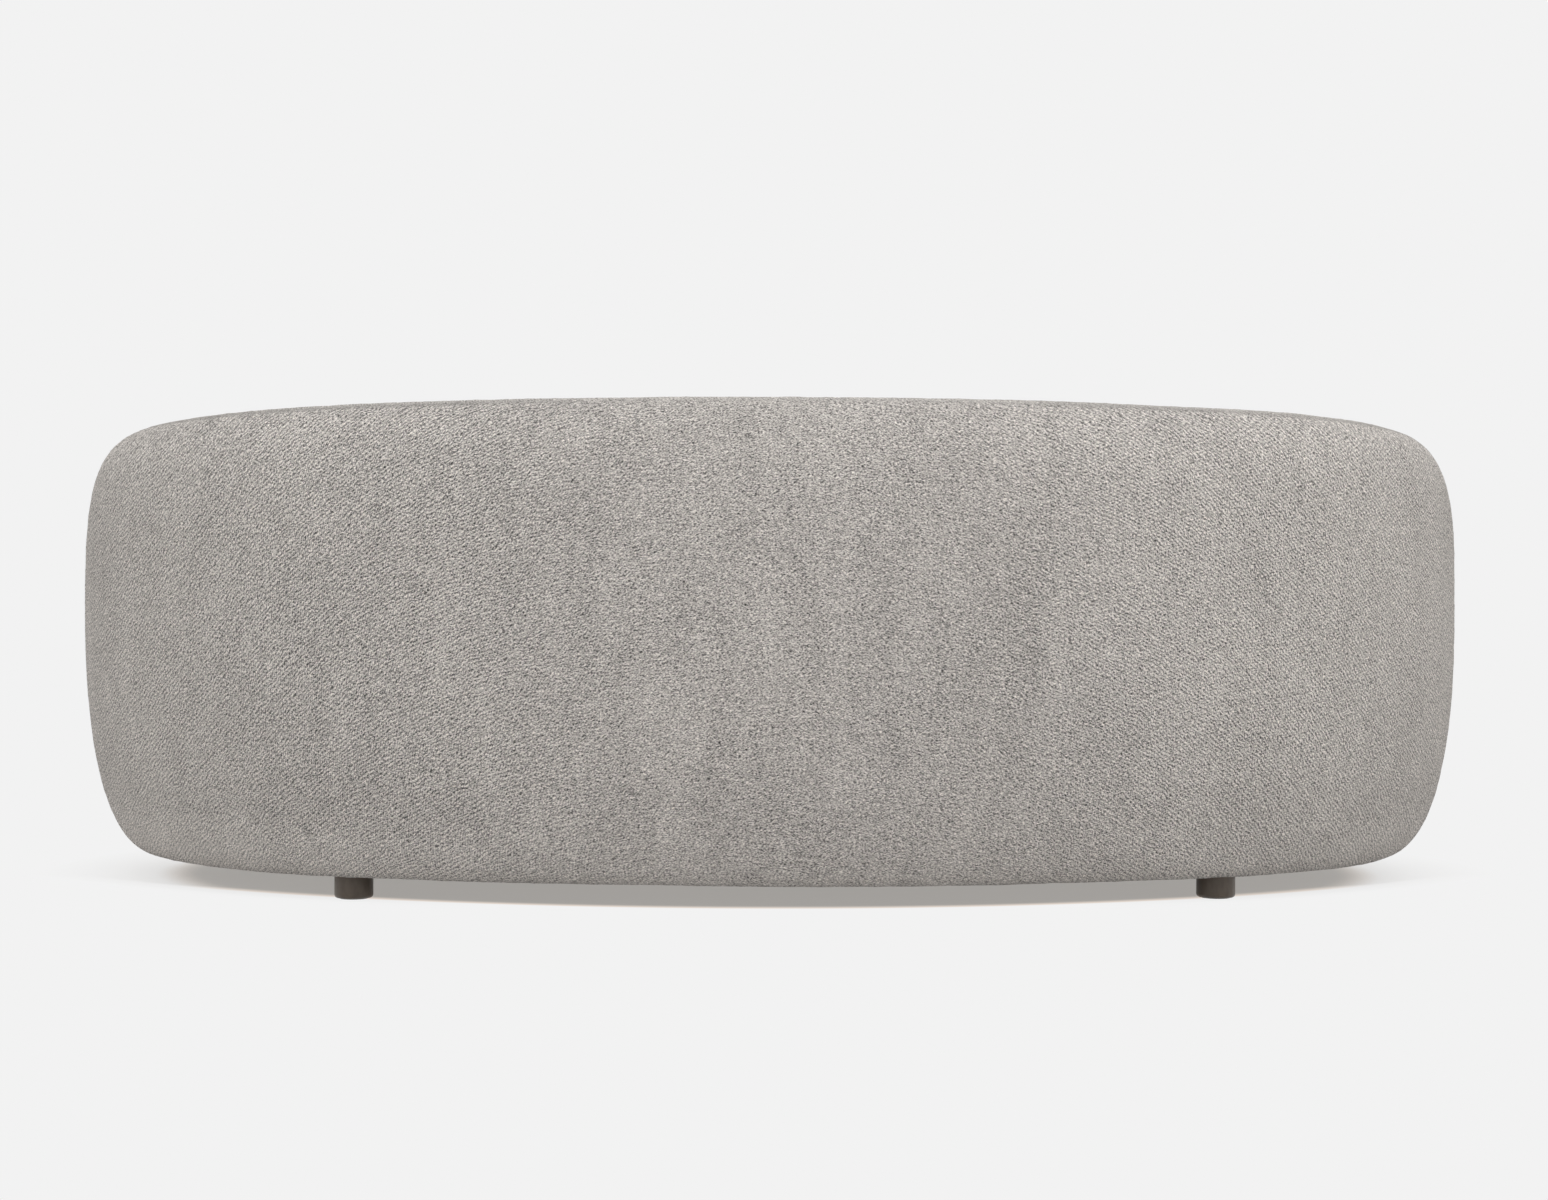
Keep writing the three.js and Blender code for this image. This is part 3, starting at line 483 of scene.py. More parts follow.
def weave_rows(finish, cloth, combed, on_top, lying):
    """Rows of loops that follow the comb, and slant over the top"""
    x, y, _ = finish.axes()
    wide = abs(x)
    combed_x, _, combed_z = finish.axes(combed)
    sway = finish.noise(SWAY_SCALE).fit(NOISE_SPAN, either_way(cloth.row_sway))
    sway = sway * wide.fit(ROWS_SPAN, SWAY_SHARES)

    def rows_along(across, along):
        """Rows that follow one another across, each broken into loops along it"""
        row = (across * (math.tau / cloth.row_pitch) + sway).wave()
        loop = (along * (math.tau / cloth.loop_pitch) - sway).wave()
        return row * loop.fit(either_way(1.0))

    ahead = y - cad_high.y
    upright = rows_along(combed_z + ahead * lying, combed_x - ahead * x.calc("SIGN"))
    slanting = rows_along((x + ahead) * SLANT_SQUEEZE, (x - ahead) * SLANT_SQUEEZE)
    rows = upright + (slanting - upright) * on_top
    return rows * wide.fit(ROWS_SPAN, (ROWS_IN_MIDDLE * cloth.row_share, cloth.row_share))


def nap_and_painted_light(finish, cloth, x, z):
    """How much lighter or darker the pile is drawn: random nap patches, painted side light on the
    arms and painted light along the hem
    """
    nap = finish.noise(7.0, distortion=0.5, place=finish.stretch((1.0, 1.0, 0.6)))
    brushed = finish.noise(2.6, place=finish.stretch((11.0, 11.0, 1.2)))
    patches = nap.fit(NAP_SPAN, either_way(NAP_TONE))
    patches = patches + brushed.fit(NOISE_SPAN, either_way(BRUSHED_TONE))
    light = (0.0, cloth.painted_side_light)
    # Painted side light: the arms' colour is lifted towards their ends.
    right_arm = x.fit(RIGHT_ARM_SPAN, light, smooth=True) * z.fit(ARM_HEIGHTS, RIGHT_ARM_SHARES)
    left_arm = x.fit(LEFT_ARM_SPAN, light, smooth=True) * z.fit(ARM_HEIGHTS, LEFT_ARM_SHARES)
    # Painted light: the hem is drawn lighter, for light thrown up from the floor.
    hem = abs(x).fit(HEM_SPAN, HEM_LIGHT_PAINT) + x.fit(LEFT_HEM_SPAN, LEFT_HEM_LIGHT_PAINT)
    return patches + (right_arm + left_arm) + z.fit(HEM_HEIGHTS) * hem


def pile_cloth(name, lying=0.0):
    """Short curly pile: fine tufts, whose hollows are drawn darker in colour as painted shade,
    combed in rows that turn from side to side

    A piece that mostly lies flat has lying 1, so that its rows also follow one another from
    front to back.
    """
    cloth = bpy.context.scene.sofa_cloth
    finish = Finish(name)
    top = cad_high.z
    x, _, z = finish.axes()
    wide = abs(x)
    combed = comb(finish, cloth, x)
    tufts = finish.stretch((1.0, 1.0, cloth.row_squeeze), TUFT_TILT, combed)
    height = finish.noise(1.0 / cloth.tuft, 2.0, TUFT_ROUGHNESS, TUFT_DISTORTION, tufts)
    on_top = z.fit(shifted(top, TOP_SPAN), smooth=True)
    height = height + weave_rows(finish, cloth, combed, on_top, lying)

    # Painted shade: a strip along the crest, strongest towards the ends, and the upper shoulder
    # are drawn darker.
    crest = z.fit(shifted(top, CREST_SPAN), smooth=True)
    crest = crest * on_top.fit(CREST_TOP_SPAN, CREST_TOP_SHARES)
    crest = crest * wide.fit(CREST_SIDE_SPAN, CREST_SIDE_SHARES, smooth=True)
    shoulder = z.fit(shifted(top, SHOULDER_SPAN), SHOULDER_TONES, smooth=True)
    tones = nap_and_painted_light(finish, cloth, x, z) - (crest + shoulder) * cloth.crest_shade
    # Painted shade: the colour follows the height of tufts and rows, darker in the hollows and
    # lighter on the tops.
    spread = (height - 0.5) * wide.fit(TONE_SPAN, TONE_SHARES)
    spread = spread * crest.fit((0.0, 1.0), CREST_CONTRAST)
    contrast = (1.0 - cloth.contrast, 1.0 + cloth.contrast)
    shade = spread.fit(either_way(HEIGHT_SPREAD), contrast) + tones
    inputs = {0: tuple(cloth.colour), "Scale": shade}
    return finish.made(
        Base_Color=finish.run("ShaderNodeVectorMath", "Vector", inputs, operation="SCALE"),
        Normal=finish.relief(height, cloth.tuft_depth, 1.0),
        Roughness=0.95,
        Specular_IOR_Level=0.12,
        Sheen_Weight=cloth.sheen,
        Sheen_Roughness=0.55,
        Sheen_Tint=FIBRE_TINT,
    )


def woven(name, tones, threads_per_metre, depth):
    """Plain weave of a light and a dark tone"""
    light, dark = tones
    finish = Finish(name)
    x, y, _ = finish.axes()
    turn = math.pi * threads_per_metre
    threads = abs((x * turn).wave()).or_more(0.2) * abs((y * turn).wave()).or_more(0.2)
    slubs = finish.noise(60.0, detail=3.0, place=finish.stretch((1.0, 6.0, 1.0)))
    height = threads + slubs * 0.5
    return finish.made(
        Base_Color=finish.blend(height.fit((0.2, 1.2)), dark, light),
        Normal=finish.relief(height, depth, 0.7),
        Roughness=0.9,
        Specular_IOR_Level=0.2,
    )


def felt(name):
    """Pressed fibre sheet"""
    light, dark = FELT_TONES
    finish = Finish(name)
    fibres = finish.noise(900.0, detail=4.0, roughness=0.7, distortion=1.5)
    height = fibres * 0.7 + finish.noise(70.0, detail=3.0) * 0.3
    return finish.made(
        Base_Color=finish.blend(height.fit(NOISE_SPAN), dark, light),
        Normal=finish.relief(height, 0.0006, 0.6),
        Roughness=0.93,
        Specular_IOR_Level=0.15,
    )


def foam(name):
    """Cut open-cell foam"""
    finish = Finish(name)
    wall, hollow, aged = (0.80, 0.73, 0.55), (0.52, 0.45, 0.30), (0.86, 0.78, 0.58)
    inputs = {"Vector": finish.place, "Scale": 700.0}
    cells = finish.run("ShaderNodeTexVoronoi", "Distance", inputs, feature="F1")
    patches = finish.noise(12.0).fit(NOISE_SPAN, (0.0, 0.25))
    return finish.made(
        Base_Color=finish.blend(patches, finish.blend(cells.fit((0.2, 0.8)), wall, hollow), aged),
        Normal=finish.relief(cells, 0.001, 0.5),
        Roughness=0.95,
        Specular_IOR_Level=0.1,
    )


def plywood(name):
    """Pale plywood with its grain and glued layers"""
    finish = Finish(name)
    dark, light, glue = (0.42, 0.27, 0.14), (0.68, 0.50, 0.30), (0.50, 0.34, 0.19)
    grain = finish.noise(6.0, 5.0, 0.6, 0.8, finish.stretch((2.0, 24.0, 24.0)))
    layers = finish.noise(2.0, 1.0, place=finish.stretch((0.4, 0.4, 260.0)))
    colour = finish.blend(grain.fit(NOISE_SPAN), dark, light)
    return finish.made(
        Base_Color=finish.blend(layers.fit((0.45, 0.6), (0.0, 0.35)), colour, glue),
        Normal=finish.relief(grain, 0.0005, 0.4),
        Roughness=0.7,
    )


def dark_wood(name):
    """Dark stained wood with a satin coat"""
    finish = Finish(name)
    dark, light, worn = (0.124, 0.094, 0.069), (0.163, 0.127, 0.097), (0.188, 0.147, 0.114)
    grain = finish.noise(22.0, 4.0, 0.55, 0.4, finish.stretch((6.0, 6.0, 1.5)))
    pores = finish.noise(90.0, place=finish.stretch((10.0, 10.0, 0.9)))
    cloudy = finish.noise(60.0, detail=3.0).fit((0.4, 0.75), (0.0, 0.4))
    colour = finish.blend(grain.fit(NOISE_SPAN), dark, light)
    return finish.made(
        Base_Color=finish.blend(cloudy, colour, worn),
        Normal=finish.relief(pores, 0.0003, 0.5),
        Roughness=pores.fit(NOISE_SPAN, (0.36, 0.56)),
        Coat_Weight=0.15,
        Coat_Roughness=0.3,
    )


def zinc(name):
    """Zinc plated steel"""
    finish = Finish(name)
    dull, bright = (0.42, 0.43, 0.45), (0.62, 0.63, 0.65)
    spangle = finish.noise(260.0)
    return finish.made(
        Base_Color=finish.blend(spangle.fit(NOISE_SPAN), dull, bright),
        Roughness=spangle.fit(NOISE_SPAN, (0.28, 0.42)),
        Metallic=1.0,
    )


def zip_coil(name):
    """Coil zip on a woven tape"""
    finish = Finish(name)
    gap, tooth, teeth_per_metre = (0.16, 0.15, 0.14), (0.36, 0.34, 0.32), 400.0
    teeth = (finish.axes()[0] * (math.tau * teeth_per_metre)).wave().fit((-0.4, 0.6))
    return finish.made(
        Base_Color=finish.blend(teeth, gap, tooth),
        Normal=finish.relief(teeth, 0.0006, 0.8),
        Roughness=0.5,
    )


# Curves shared with the frame


SECTION_POINTS = 1441  # down the band's section
SHOULDER_POINTS = 700  # of them, those well over the fullest height
RING_POINTS = 1601  # along each side of the band
TIP_POINTS = 241  # round each arm tip
LOW_REACH = 0.04  # how much further the inner face reaches on average, for its lean
TIP_SEAM_TURN = math.pi * 0.8  # the sewn line's place in the half circle round a tip
SEAM_STEPS = (-1.5, -0.75, 0, 0.75, 1.5)  # mesh lines beside a seam, in seam widths
CLEAR_OF_SEAM = 2.2
PUCKER_SHARE, PUCKER_PLACE, PUCKER_WIDTH = 0.25, 3.2, 1.8  # of seam depth and seam widths


def band_points(turns, reaches):
    """Plan places at a direction and a reach from the crest line, for arrays of both"""
    band = bpy.context.scene.sofa_band
    far = np.where(np.abs(turns) > band.rear_turn, band.rear_radius - band.arm_radius, 0.0)
    centre_turn = np.sign(turns) * band.rear_turn
    radius = band.rear_radius - far - band.outer_reach + reaches
    x = far * np.sin(centre_turn) + radius * np.sin(turns)
    y = far * np.cos(centre_turn) + radius * np.cos(turns) - band.rear_radius
    return x, y + cad_high.y


def lean_at(turns):
    band = bpy.context.scene.sofa_band
    share = np.clip((np.abs(turns) - band.rear_turn) / (math.pi / 2 - band.rear_turn), 0, 1)
    return band.back_lean + (band.arm_lean - band.back_lean) * share * share * (3 - 2 * share)


def run_along(x, y):
    """Length up to each point of a line"""
    return np.concatenate(([0.0], np.cumsum(np.hypot(np.diff(x), np.diff(y)))))


def band_section():
    """Length down the band's section, share of the reach and height, at even steps"""
    band = bpy.context.scene.sofa_band
    height = cad_high.z - band.ease
    angles = np.radians(np.linspace(90, -90, SECTION_POINTS))
    above = angles >= 0
    below_fullest = band.fullest_height - band.underside_height
    rise = np.where(above, height - band.fullest_height, below_fullest)
    height_power = np.where(above, band.shoulder_powers[0], band.hem_powers[0])
    reach_power = np.where(above, band.shoulder_powers[1], band.hem_powers[1])
    lift = rise * np.abs(np.sin(angles)) ** (2 / height_power)
    heights = band.fullest_height + np.sign(angles) * lift
    shares = np.clip(np.cos(angles), 0, 1) ** (2 / reach_power)
    return run_along(shares * band.outer_reach, heights), shares, heights


def even_marks(whole, spacing, seams, seam_width):
    """Marks along a line, closer together beside each seam"""
    marks = list(np.linspace(0, whole, max(2, round(whole / spacing)) + 1))
    for seam in seams:
        marks = [mark for mark in marks if abs(mark - seam) > seam_width * CLEAR_OF_SEAM]
        marks += [seam + seam_width * step for step in SEAM_STEPS]
    return np.array(sorted(marks))


def ring_line():
    """Length round the band's ring, with its direction, its facing and the inner face's share"""
    band = bpy.context.scene.sofa_band
    turns = np.radians(np.linspace(-1, 1, RING_POINTS) * math.degrees(band.arm_turn))
    swings = np.linspace(0, math.pi, TIP_POINTS)[1:-1]
    tip = np.full(len(swings), band.arm_turn)
    inner = (1 - np.cos(swings)) / 2
    turn = np.concatenate((turns, tip, turns[::-1], -tip))
    look = np.concatenate((turns, tip + swings, turns[::-1] + math.pi, -tip - swings[::-1]))
    share = np.concatenate((np.zeros(RING_POINTS), inner, np.ones(RING_POINTS), inner[::-1]))
    turn, share = np.append(turn, turn[0]), np.append(share, share[0])
    look = np.append(look, look[0] - math.tau)
    reach = band.outer_reach + (band.inner_reach + LOW_REACH - band.outer_reach) * share
    crest_x, crest_y = band_points(turn, 0.0)
    x, y = crest_x + reach * np.sin(look), crest_y + reach * np.cos(look)
    return run_along(x, y), turn, look, share


def add_sheet_grid(name, columns, rows):
    deselect_all()
    bpy.ops.mesh.primitive_grid_add(x_subdivisions=columns, y_subdivisions=rows, size=1)
    piece = new_piece(name)
    places = places_of(piece)
    column = np.rint((places[:, 0] + 0.5) * columns).astype(int)
    row = np.rint((0.5 - places[:, 1]) * rows).astype(int)
    return piece, column, row


def wrap_band(name):
    """Closed padded band: a sheet wrapped round the crest line and closed along it"""
    band = bpy.context.scene.sofa_band
    along, turn, look, share = ring_line()
    down, reach_share, heights = band_section()
    tip = slice(RING_POINTS - 1, RING_POINTS - 1 + TIP_POINTS)
    seam_right = np.interp(band.arm_turn + TIP_SEAM_TURN, look[tip], along[tip])
    seam_left = along[-1] - (seam_right - along[RING_POINTS - 1])
    shoulder = np.interp(0.5, reach_share[:SHOULDER_POINTS], down[:SHOULDER_POINTS])
    column_marks = even_marks(along[-1], band.spacing, (seam_right, seam_left), band.seam_width)
    row_marks = even_marks(down[-1], band.spacing, (shoulder,), band.seam_width)
    piece, column, row = add_sheet_grid(name, len(column_marks) - 1, len(row_marks) - 1)

    ring, section = column_marks[column], row_marks[row]
    turns, shares = np.interp(ring, along, turn), np.interp(ring, along, share)
    looks = np.interp(ring, along, np.unwrap(look))
    drawn = np.interp(section, down, reach_share)
    height = np.interp(section, down, heights)
    drawn[(row == 0) | (row == len(row_marks) - 1)] = 0.0
    inward = (band.inner_reach + lean_at(turns) * (cad_high.z - height)) * drawn
    reach = band.outer_reach * drawn * (1 - shares) + inward * shares
    crest_x, crest_y = band_points(turns, 0.0)
    x, y = crest_x + reach * np.sin(looks), crest_y + reach * np.cos(looks)
    set_places(piece, np.stack((x, y, height), 1))

    inside = (ring >= seam_right) & (ring <= seam_left)
    top_line = np.where(inside, np.abs(section - shoulder), 1.0)
    beside_ends = np.minimum(np.abs(ring - seam_right), np.abs(ring - seam_left))
    end_line = np.where(section >= shoulder, beside_ends, 1.0)
    draw_in_seams(piece, np.minimum(top_line, end_line), band)
    return piece


def draw_in_seams(piece, nearest, band):
    """Merge the piece, then sink its surface at the seams and pucker it beside them"""
    layer = piece.data.attributes.new("seam", "FLOAT", "POINT")
    layer.data.foreach_set("value", nearest.astype(np.float32))
    merge_points(piece)
    nearest = np.empty(len(piece.data.vertices), dtype=np.float32)
    piece.data.attributes["seam"].data.foreach_get("value", nearest)
    draw = -band.seam_depth * np.exp(-((nearest / band.seam_width) ** 2))
    beside = (nearest - PUCKER_PLACE * band.seam_width) / (PUCKER_WIDTH * band.seam_width)
    draw += PUCKER_SHARE * band.seam_depth * np.exp(-(beside**2))
    set_places(piece, places_of(piece) + normals_of(piece) * draw[:, None])
    piece.data.attributes.remove(piece.data.attributes["seam"])


# Operators, one for each piece or group of like pieces


class SOFA_OT_band(bpy.types.Operator):
    """Add the padded band that makes the back and the arms"""

    bl_idname = "sofa.add_band"
    bl_label = "Add Back and Arms"

    def execute(self, context):
        uneven = context.scene.sofa_band.unevenness
        piece = wrap_band("band_upholstery")
        swell_softly(piece, (0.32, uneven, 2), (0.03, uneven * 0.35, 1), (0.009, uneven * 0.4, 1))
        nodes = ("band_cover", "back_foam", "arm_foam_left", "arm_foam_right")
        finish_piece(piece, pile_cloth("pile_cloth"), "sofa_frame", nodes)
        return {"FINISHED"}


class SOFA_OT_feet(bpy.types.Operator):
    """Add the four turned feet; their glides and bolts are the frame's own"""

    bl_idname = "sofa.add_feet"
    bl_label = "Add Feet"

    sides = 64
    lower_edge = {"offset": 0.0055, "segments": 5}
    upper_edge = {"offset": 0.0012, "segments": 2}

    def execute(self, context):
        wood = dark_wood("dark_stained_wood")
        for corner in FEET:
            node = "foot_" + corner
            low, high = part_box(node)
            radius, height = (high.x - low.x) / 2, high.z - low.z
            deselect_all()
            bpy.ops.mesh.primitive_cylinder_add(
                vertices=self.sides, radius=radius, depth=height, location=(low + high) / 2
            )
            piece = new_piece(node + "_turned")
            bpy.ops.object.transform_apply(location=True, rotation=True, scale=True)
            near_floor, near_sofa = low.z + height / 4, high.z - height / 4
            self.round_edges(piece, lambda ends: max(ends) < near_floor, self.lower_edge)
            self.round_edges(piece, lambda ends: min(ends) > near_sofa, self.upper_edge)
            finish_piece(piece, wood, "sofa_frame", (node,))
            bpy.ops.object.shade_smooth_by_angle(angle=math.radians(40))
        return {"FINISHED"}

    def round_edges(self, piece, chosen, bevel):
        """Bevel the edges that are chosen by the heights of their ends"""
        start_editing("DESELECT")
        bpy.ops.mesh.select_mode(type="EDGE")
        stop_editing()
        for edge in piece.data.edges:
            edge.select = chosen([piece.data.vertices[end].co.z for end in edge.vertices])
        bpy.ops.object.mode_set(mode="EDIT")
        bpy.ops.mesh.bevel(profile=0.5, **bevel)
        stop_editing()


class SOFA_OT_apron(bpy.types.Operator):
    """Add the padded apron under the seat's front"""

    bl_idname = "sofa.add_apron"
    bl_label = "Add Apron"

    spacing = 0.008
    section_points = 1201
    section_end = 84  # degrees up and down from the apron's fullest line
    back_rows = 4

    def execute(self, context):
        seat = context.scene.sofa_seat
        low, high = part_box("apron_cover")
        centre_y = self.front_edge(seat, low) - seat.front_radius
        down, inset, heights = self.section(seat)
        rows = round(down[-1] / self.spacing)
        columns = round((high.x - low.x) / self.spacing)
        piece, column, row = add_sheet_grid("apron_upholstery", columns, rows + self.back_rows)
        marks = np.linspace(0, down[-1], rows + 1)
        insets = self.closed(np.interp(marks, down, inset))
        levels = self.closed(np.interp(marks, down, heights))
        widest = np.arcsin((high.x + beside_apron(levels, high.x)) / seat.front_radius)
        turns = widest[row] * (column * 2 / columns - 1)
        radius = seat.front_radius + insets[row]
        x, y = radius * np.sin(turns), centre_y + radius * np.cos(turns)
        set_places(piece, np.stack((x, y, levels[row]), 1))
        merge_points(piece)
        make_active(piece)
        start_editing("DESELECT")
        bpy.ops.mesh.select_non_manifold()
        bpy.ops.mesh.edge_face_add()
        bpy.ops.mesh.select_all(action="SELECT")
        bpy.ops.mesh.normals_make_consistent(inside=False)
        stop_editing()
        swell_softly(piece, (0.3, 0.003, 2), (0.012, 0.0012, 1))
        nodes = ("apron_cover", "apron_foam")
        finish_piece(piece, pile_cloth("apron_pile_cloth"), "sofa_frame", nodes)
        return {"FINISHED"}

    def front_edge(self, seat, low):
        """Y of the seat's front edge on the middle line"""
        places = places_of(frame["nodes"]["apron_cover"])
        near = places[np.abs(places[:, 0]) < 0.2]
        sag = seat.front_radius - np.sqrt(seat.front_radius**2 - near[:, 0] ** 2)
        return float((near[:, 1] + sag).min())

    def section(self, seat):
        """Length down the apron's face, how far back it lies and its height"""
        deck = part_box("deck_cloth")[1].z
        underside = bpy.context.scene.sofa_band.underside_height
        middle, rise = (deck + underside) / 2, (deck - underside) / 2
        angles = np.radians(np.linspace(self.section_end, -self.section_end, self.section_points))
        power = 2 / seat.apron_power
        inset = seat.apron_depth * (1 - np.cos(angles) ** power)
        heights = middle + np.sign(angles) * rise * np.abs(np.sin(angles)) ** power
        return run_along(inset, heights), inset, heights

    def closed(self, values):
        """The values with a few even rows back to the first one"""
        ease = np.linspace(0, 1, self.back_rows + 1)[1:]
        return np.concatenate((values, values[-1] + (values[0] - values[-1]) * ease))


def beside_apron(levels, half_width):
    """Room between the end of the apron and the arm's rounded hem, at each height"""
    band = bpy.context.scene.sofa_band
    most_room = 0.055
    _, shares, heights = band_section()
    low_half = heights <= band.fullest_height
    drawn = np.interp(levels, heights[low_half][::-1], shares[low_half][::-1])
    apart = band.rear_radius - band.arm_radius
    crest = apart * math.sin(band.rear_turn) + band.arm_radius - band.outer_reach
    inner = crest - (band.inner_reach + band.arm_lean * (cad_high.z - levels)) * drawn
    return np.clip(inner - half_width, 0.0, most_room)


SHEET_SQUARE = 0.02


def cut_sheet(node, name, facing):
    """A cloth cut to the outline of a node's upper or lower face, divided into squares"""
    piece = copy_of_node(node, name)
    low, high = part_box(node)
    make_active(piece)
    start_editing("DESELECT")
    bpy.ops.mesh.select_mode(type="FACE")
    stop_editing()
    for face in piece.data.polygons:
        face.select = face.normal.z * facing < 0.5
    bpy.ops.object.mode_set(mode="EDIT")
    bpy.ops.mesh.delete(type="FACE")
    bpy.ops.mesh.select_all(action="SELECT")
    cut_into_squares(low, high, SHEET_SQUARE)
    stop_editing()
    return piece


def thicken(sheet, levels, thickness, facing):
    """Lay a cut cloth at its levels, make it as thick as it is, and give its flat area"""
    places = places_of(sheet)
    places[:, 2] = levels
    set_places(sheet, places)
    apply_modifier(sheet, "SOLIDIFY", thickness=thickness, offset=-1.0)
    return sum(face.area for face in sheet.data.polygons if face.normal.z * facing > 0.5)


class SOFA_OT_deck(bpy.types.Operator):
    """Add the deck's pad and the lining cloth stretched over it"""

    bl_idname = "sofa.add_deck"
    bl_label = "Add Deck"

    strap_pitch = 0.19
    pad_square = 0.03
    pad_sag, cloth_sag = 0.0006, 0.0003
    cloth_thickness, cloth_below_top = 0.0011, 0.0003

    def execute(self, context):
        pad = copy_of_node("deck_pad", "deck_padding")
        low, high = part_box("deck_pad")
        make_active(pad)
        start_editing()
        cut_into_squares(low, high, self.pad_square)
        stop_editing()
        places = places_of(pad)
        depth = (high.z - places[:, 2]) / (high.z - low.z)
        places[:, 2] -= self.pad_sag * (1 - depth) * self.ripple(places)
        set_places(pad, places)
        finish_piece(pad, foam("deck_foam"), "sofa_frame", ("deck_pad",))
        bpy.ops.object.shade_smooth_by_angle(angle=math.radians(30))

        cloth = cut_sheet("deck_cloth", "deck_lining", 1)
        low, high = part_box("deck_cloth")
        levels = high.z - self.cloth_below_top - self.cloth_sag * self.ripple(places_of(cloth))
        area = thicken(cloth, levels, self.cloth_thickness, 1)
        weave = woven("deck_weave", LINING_TONES, 900.0, 0.0005)
        finish_piece(cloth, weave, "sofa_frame", ("deck_cloth",))
        return {"FINISHED"}

    def ripple(self, places):
        """From 0 to 2, as the deck sinks between its straps"""
        return 1 + np.cos(places[:, 0] * math.tau / self.strap_pitch)


class SOFA_OT_dust_cover(bpy.types.Operator):
    """Add the felt sheet stapled under the base"""

    bl_idname = "sofa.add_dust_cover"
    bl_label = "Add Dust Cover"

    thickness = 0.0008
    most_slack, above_bottom = 0.0006, 0.0001

    def execute(self, context):
        cover = cut_sheet("dust_cover", "dust_sheet", -1)
        low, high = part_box("dust_cover")
        x, y, _ = places_of(cover).T
        slack = np.sin(x * 9.0) * np.cos(y * 13.0 + x * 3.0)
        levels = low.z + self.above_bottom - self.most_slack * (1 + slack) * 0.5
        area = thicken(cover, levels, self.thickness, -1)
        finish_piece(cover, felt("dust_felt"), "sofa_frame", ("dust_cover",))
        return {"FINISHED"}


class SOFA_OT_cushion(bpy.types.Operator):
    """Add the loose bench cushion, blown up softly by its filling, with its sewn lines"""

    bl_idname = "sofa.add_cushion"
    bl_label = "Add Seat Cushion"

    keep_clear = 0.003
    crown_share = 0.7  # of the height, from where the cover may swell
    over_deck = 0.0008
    cloth_frames = 20
    seam_depth = 0.0042
    seam_slope = 0.62
    upper_seam, lower_seam = 0.17, 0.2

    def execute(self, context):
        seat = context.scene.sofa_seat
        low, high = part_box("seat_cushion_cover")
        cushion = copy_of_node("seat_cushion_cover", "seat_cushion_upholstery")
        set_places(cushion, places_of(cushion) - normals_of(cushion) * self.keep_clear)
        apply_modifier(cushion, "REMESH", mode="VOXEL", voxel_size=seat.voxel)
        start = places_of(cushion)
        self.fill(context, cushion, seat.pressure)
        moved = places_of(cushion) - start
        far = np.linalg.norm(moved, axis=1)
        share = np.clip((start[:, 2] - low.z) / (high.z - low.z), 0, 1)
        most = np.where(share > self.crown_share, seat.swell, self.keep_clear)
        places = start + moved * (np.minimum(far, most) / np.maximum(far, 1e-9))[:, None]
        places[:, 2] = np.maximum(places[:, 2], low.z + self.over_deck)
        set_places(cushion, places)
        start_editing()
        bpy.ops.mesh.vertices_smooth(factor=0.5, repeat=2)
        stop_editing()
        apply_modifier(cushion, "SUBSURF", levels=1, render_levels=1)
        self.sew(cushion, low, high)
        swell_softly(cushion, (0.22, 0.004, 2), (0.03, 0.0012, 1))
        cloth = pile_cloth("cushion_pile_cloth", lying=1.0)
        nodes = ("seat_cushion_cover", "seat_cushion_core")
        finish_piece(cushion, cloth, "seat_cushion", nodes)
        return {"FINISHED"}

    def fill(self, context, cushion, pressure):
        """Blow the cover up, and keep the form it takes"""
        make_active(cushion)
        cloth = cushion.modifiers.new("Filling", "CLOTH")
        cloth.settings.use_pressure = True
        cloth.settings.uniform_pressure_force = pressure
        cloth.settings.effector_weights.gravity = 0
        scene = context.scene
        first = scene.frame_current
        for step in range(1, self.cloth_frames + 1):
            scene.frame_set(step)
        bpy.ops.object.modifier_apply(modifier=cloth.name)
        scene.frame_set(first)

    def sew(self, cushion, low, high):
        """Draw the cover in along the lines where top and bottom meet the side strip"""
        places, normals = places_of(cushion), normals_of(cushion)
        upper = places[:, 2] > (low.z + high.z) / 2
        slope = np.where(upper, normals[:, 2], -normals[:, 2])
        width = np.where(upper, self.upper_seam, self.lower_seam)
        beside = (slope - self.seam_slope) / width
        draw = -self.seam_depth * np.exp(-(beside**2) * 3.0)
        set_places(cushion, places + normals * draw[:, None])


class SOFA_OT_frame_finishes(bpy.types.Operator):
    """Give each frame node its own finish"""

    bl_idname = "sofa.finish_frame"
    bl_label = "Finish Frame Nodes"

    def execute(self, context):
        slots = {row["node"]: row["material_slot"] for row in frame["record"]["subparts"]}
        finishes = {
            "boucle": pile_cloth("frame_pile_cloth"),
            "lining": woven("lining_weave", LINING_TONES, 900.0, 0.0005),
            "black_felt": felt("black_felt"),
            "foam": foam("cut_foam"),
            "plywood": plywood("pale_plywood"),
            "webbing": woven("webbing_weave", WEBBING_TONES, 500.0, 0.0008),
            "dark_wood": bpy.data.materials["dark_stained_wood"],
            "bolt_steel": zinc("zinc_plated_steel"),
            "zip_tape": zip_coil("zip_coil"),
        }
        for name, node in frame["nodes"].items():
            node.data.materials.clear()
            node.data.materials.append(finishes[slots[name]])
        return {"FINISHED"}
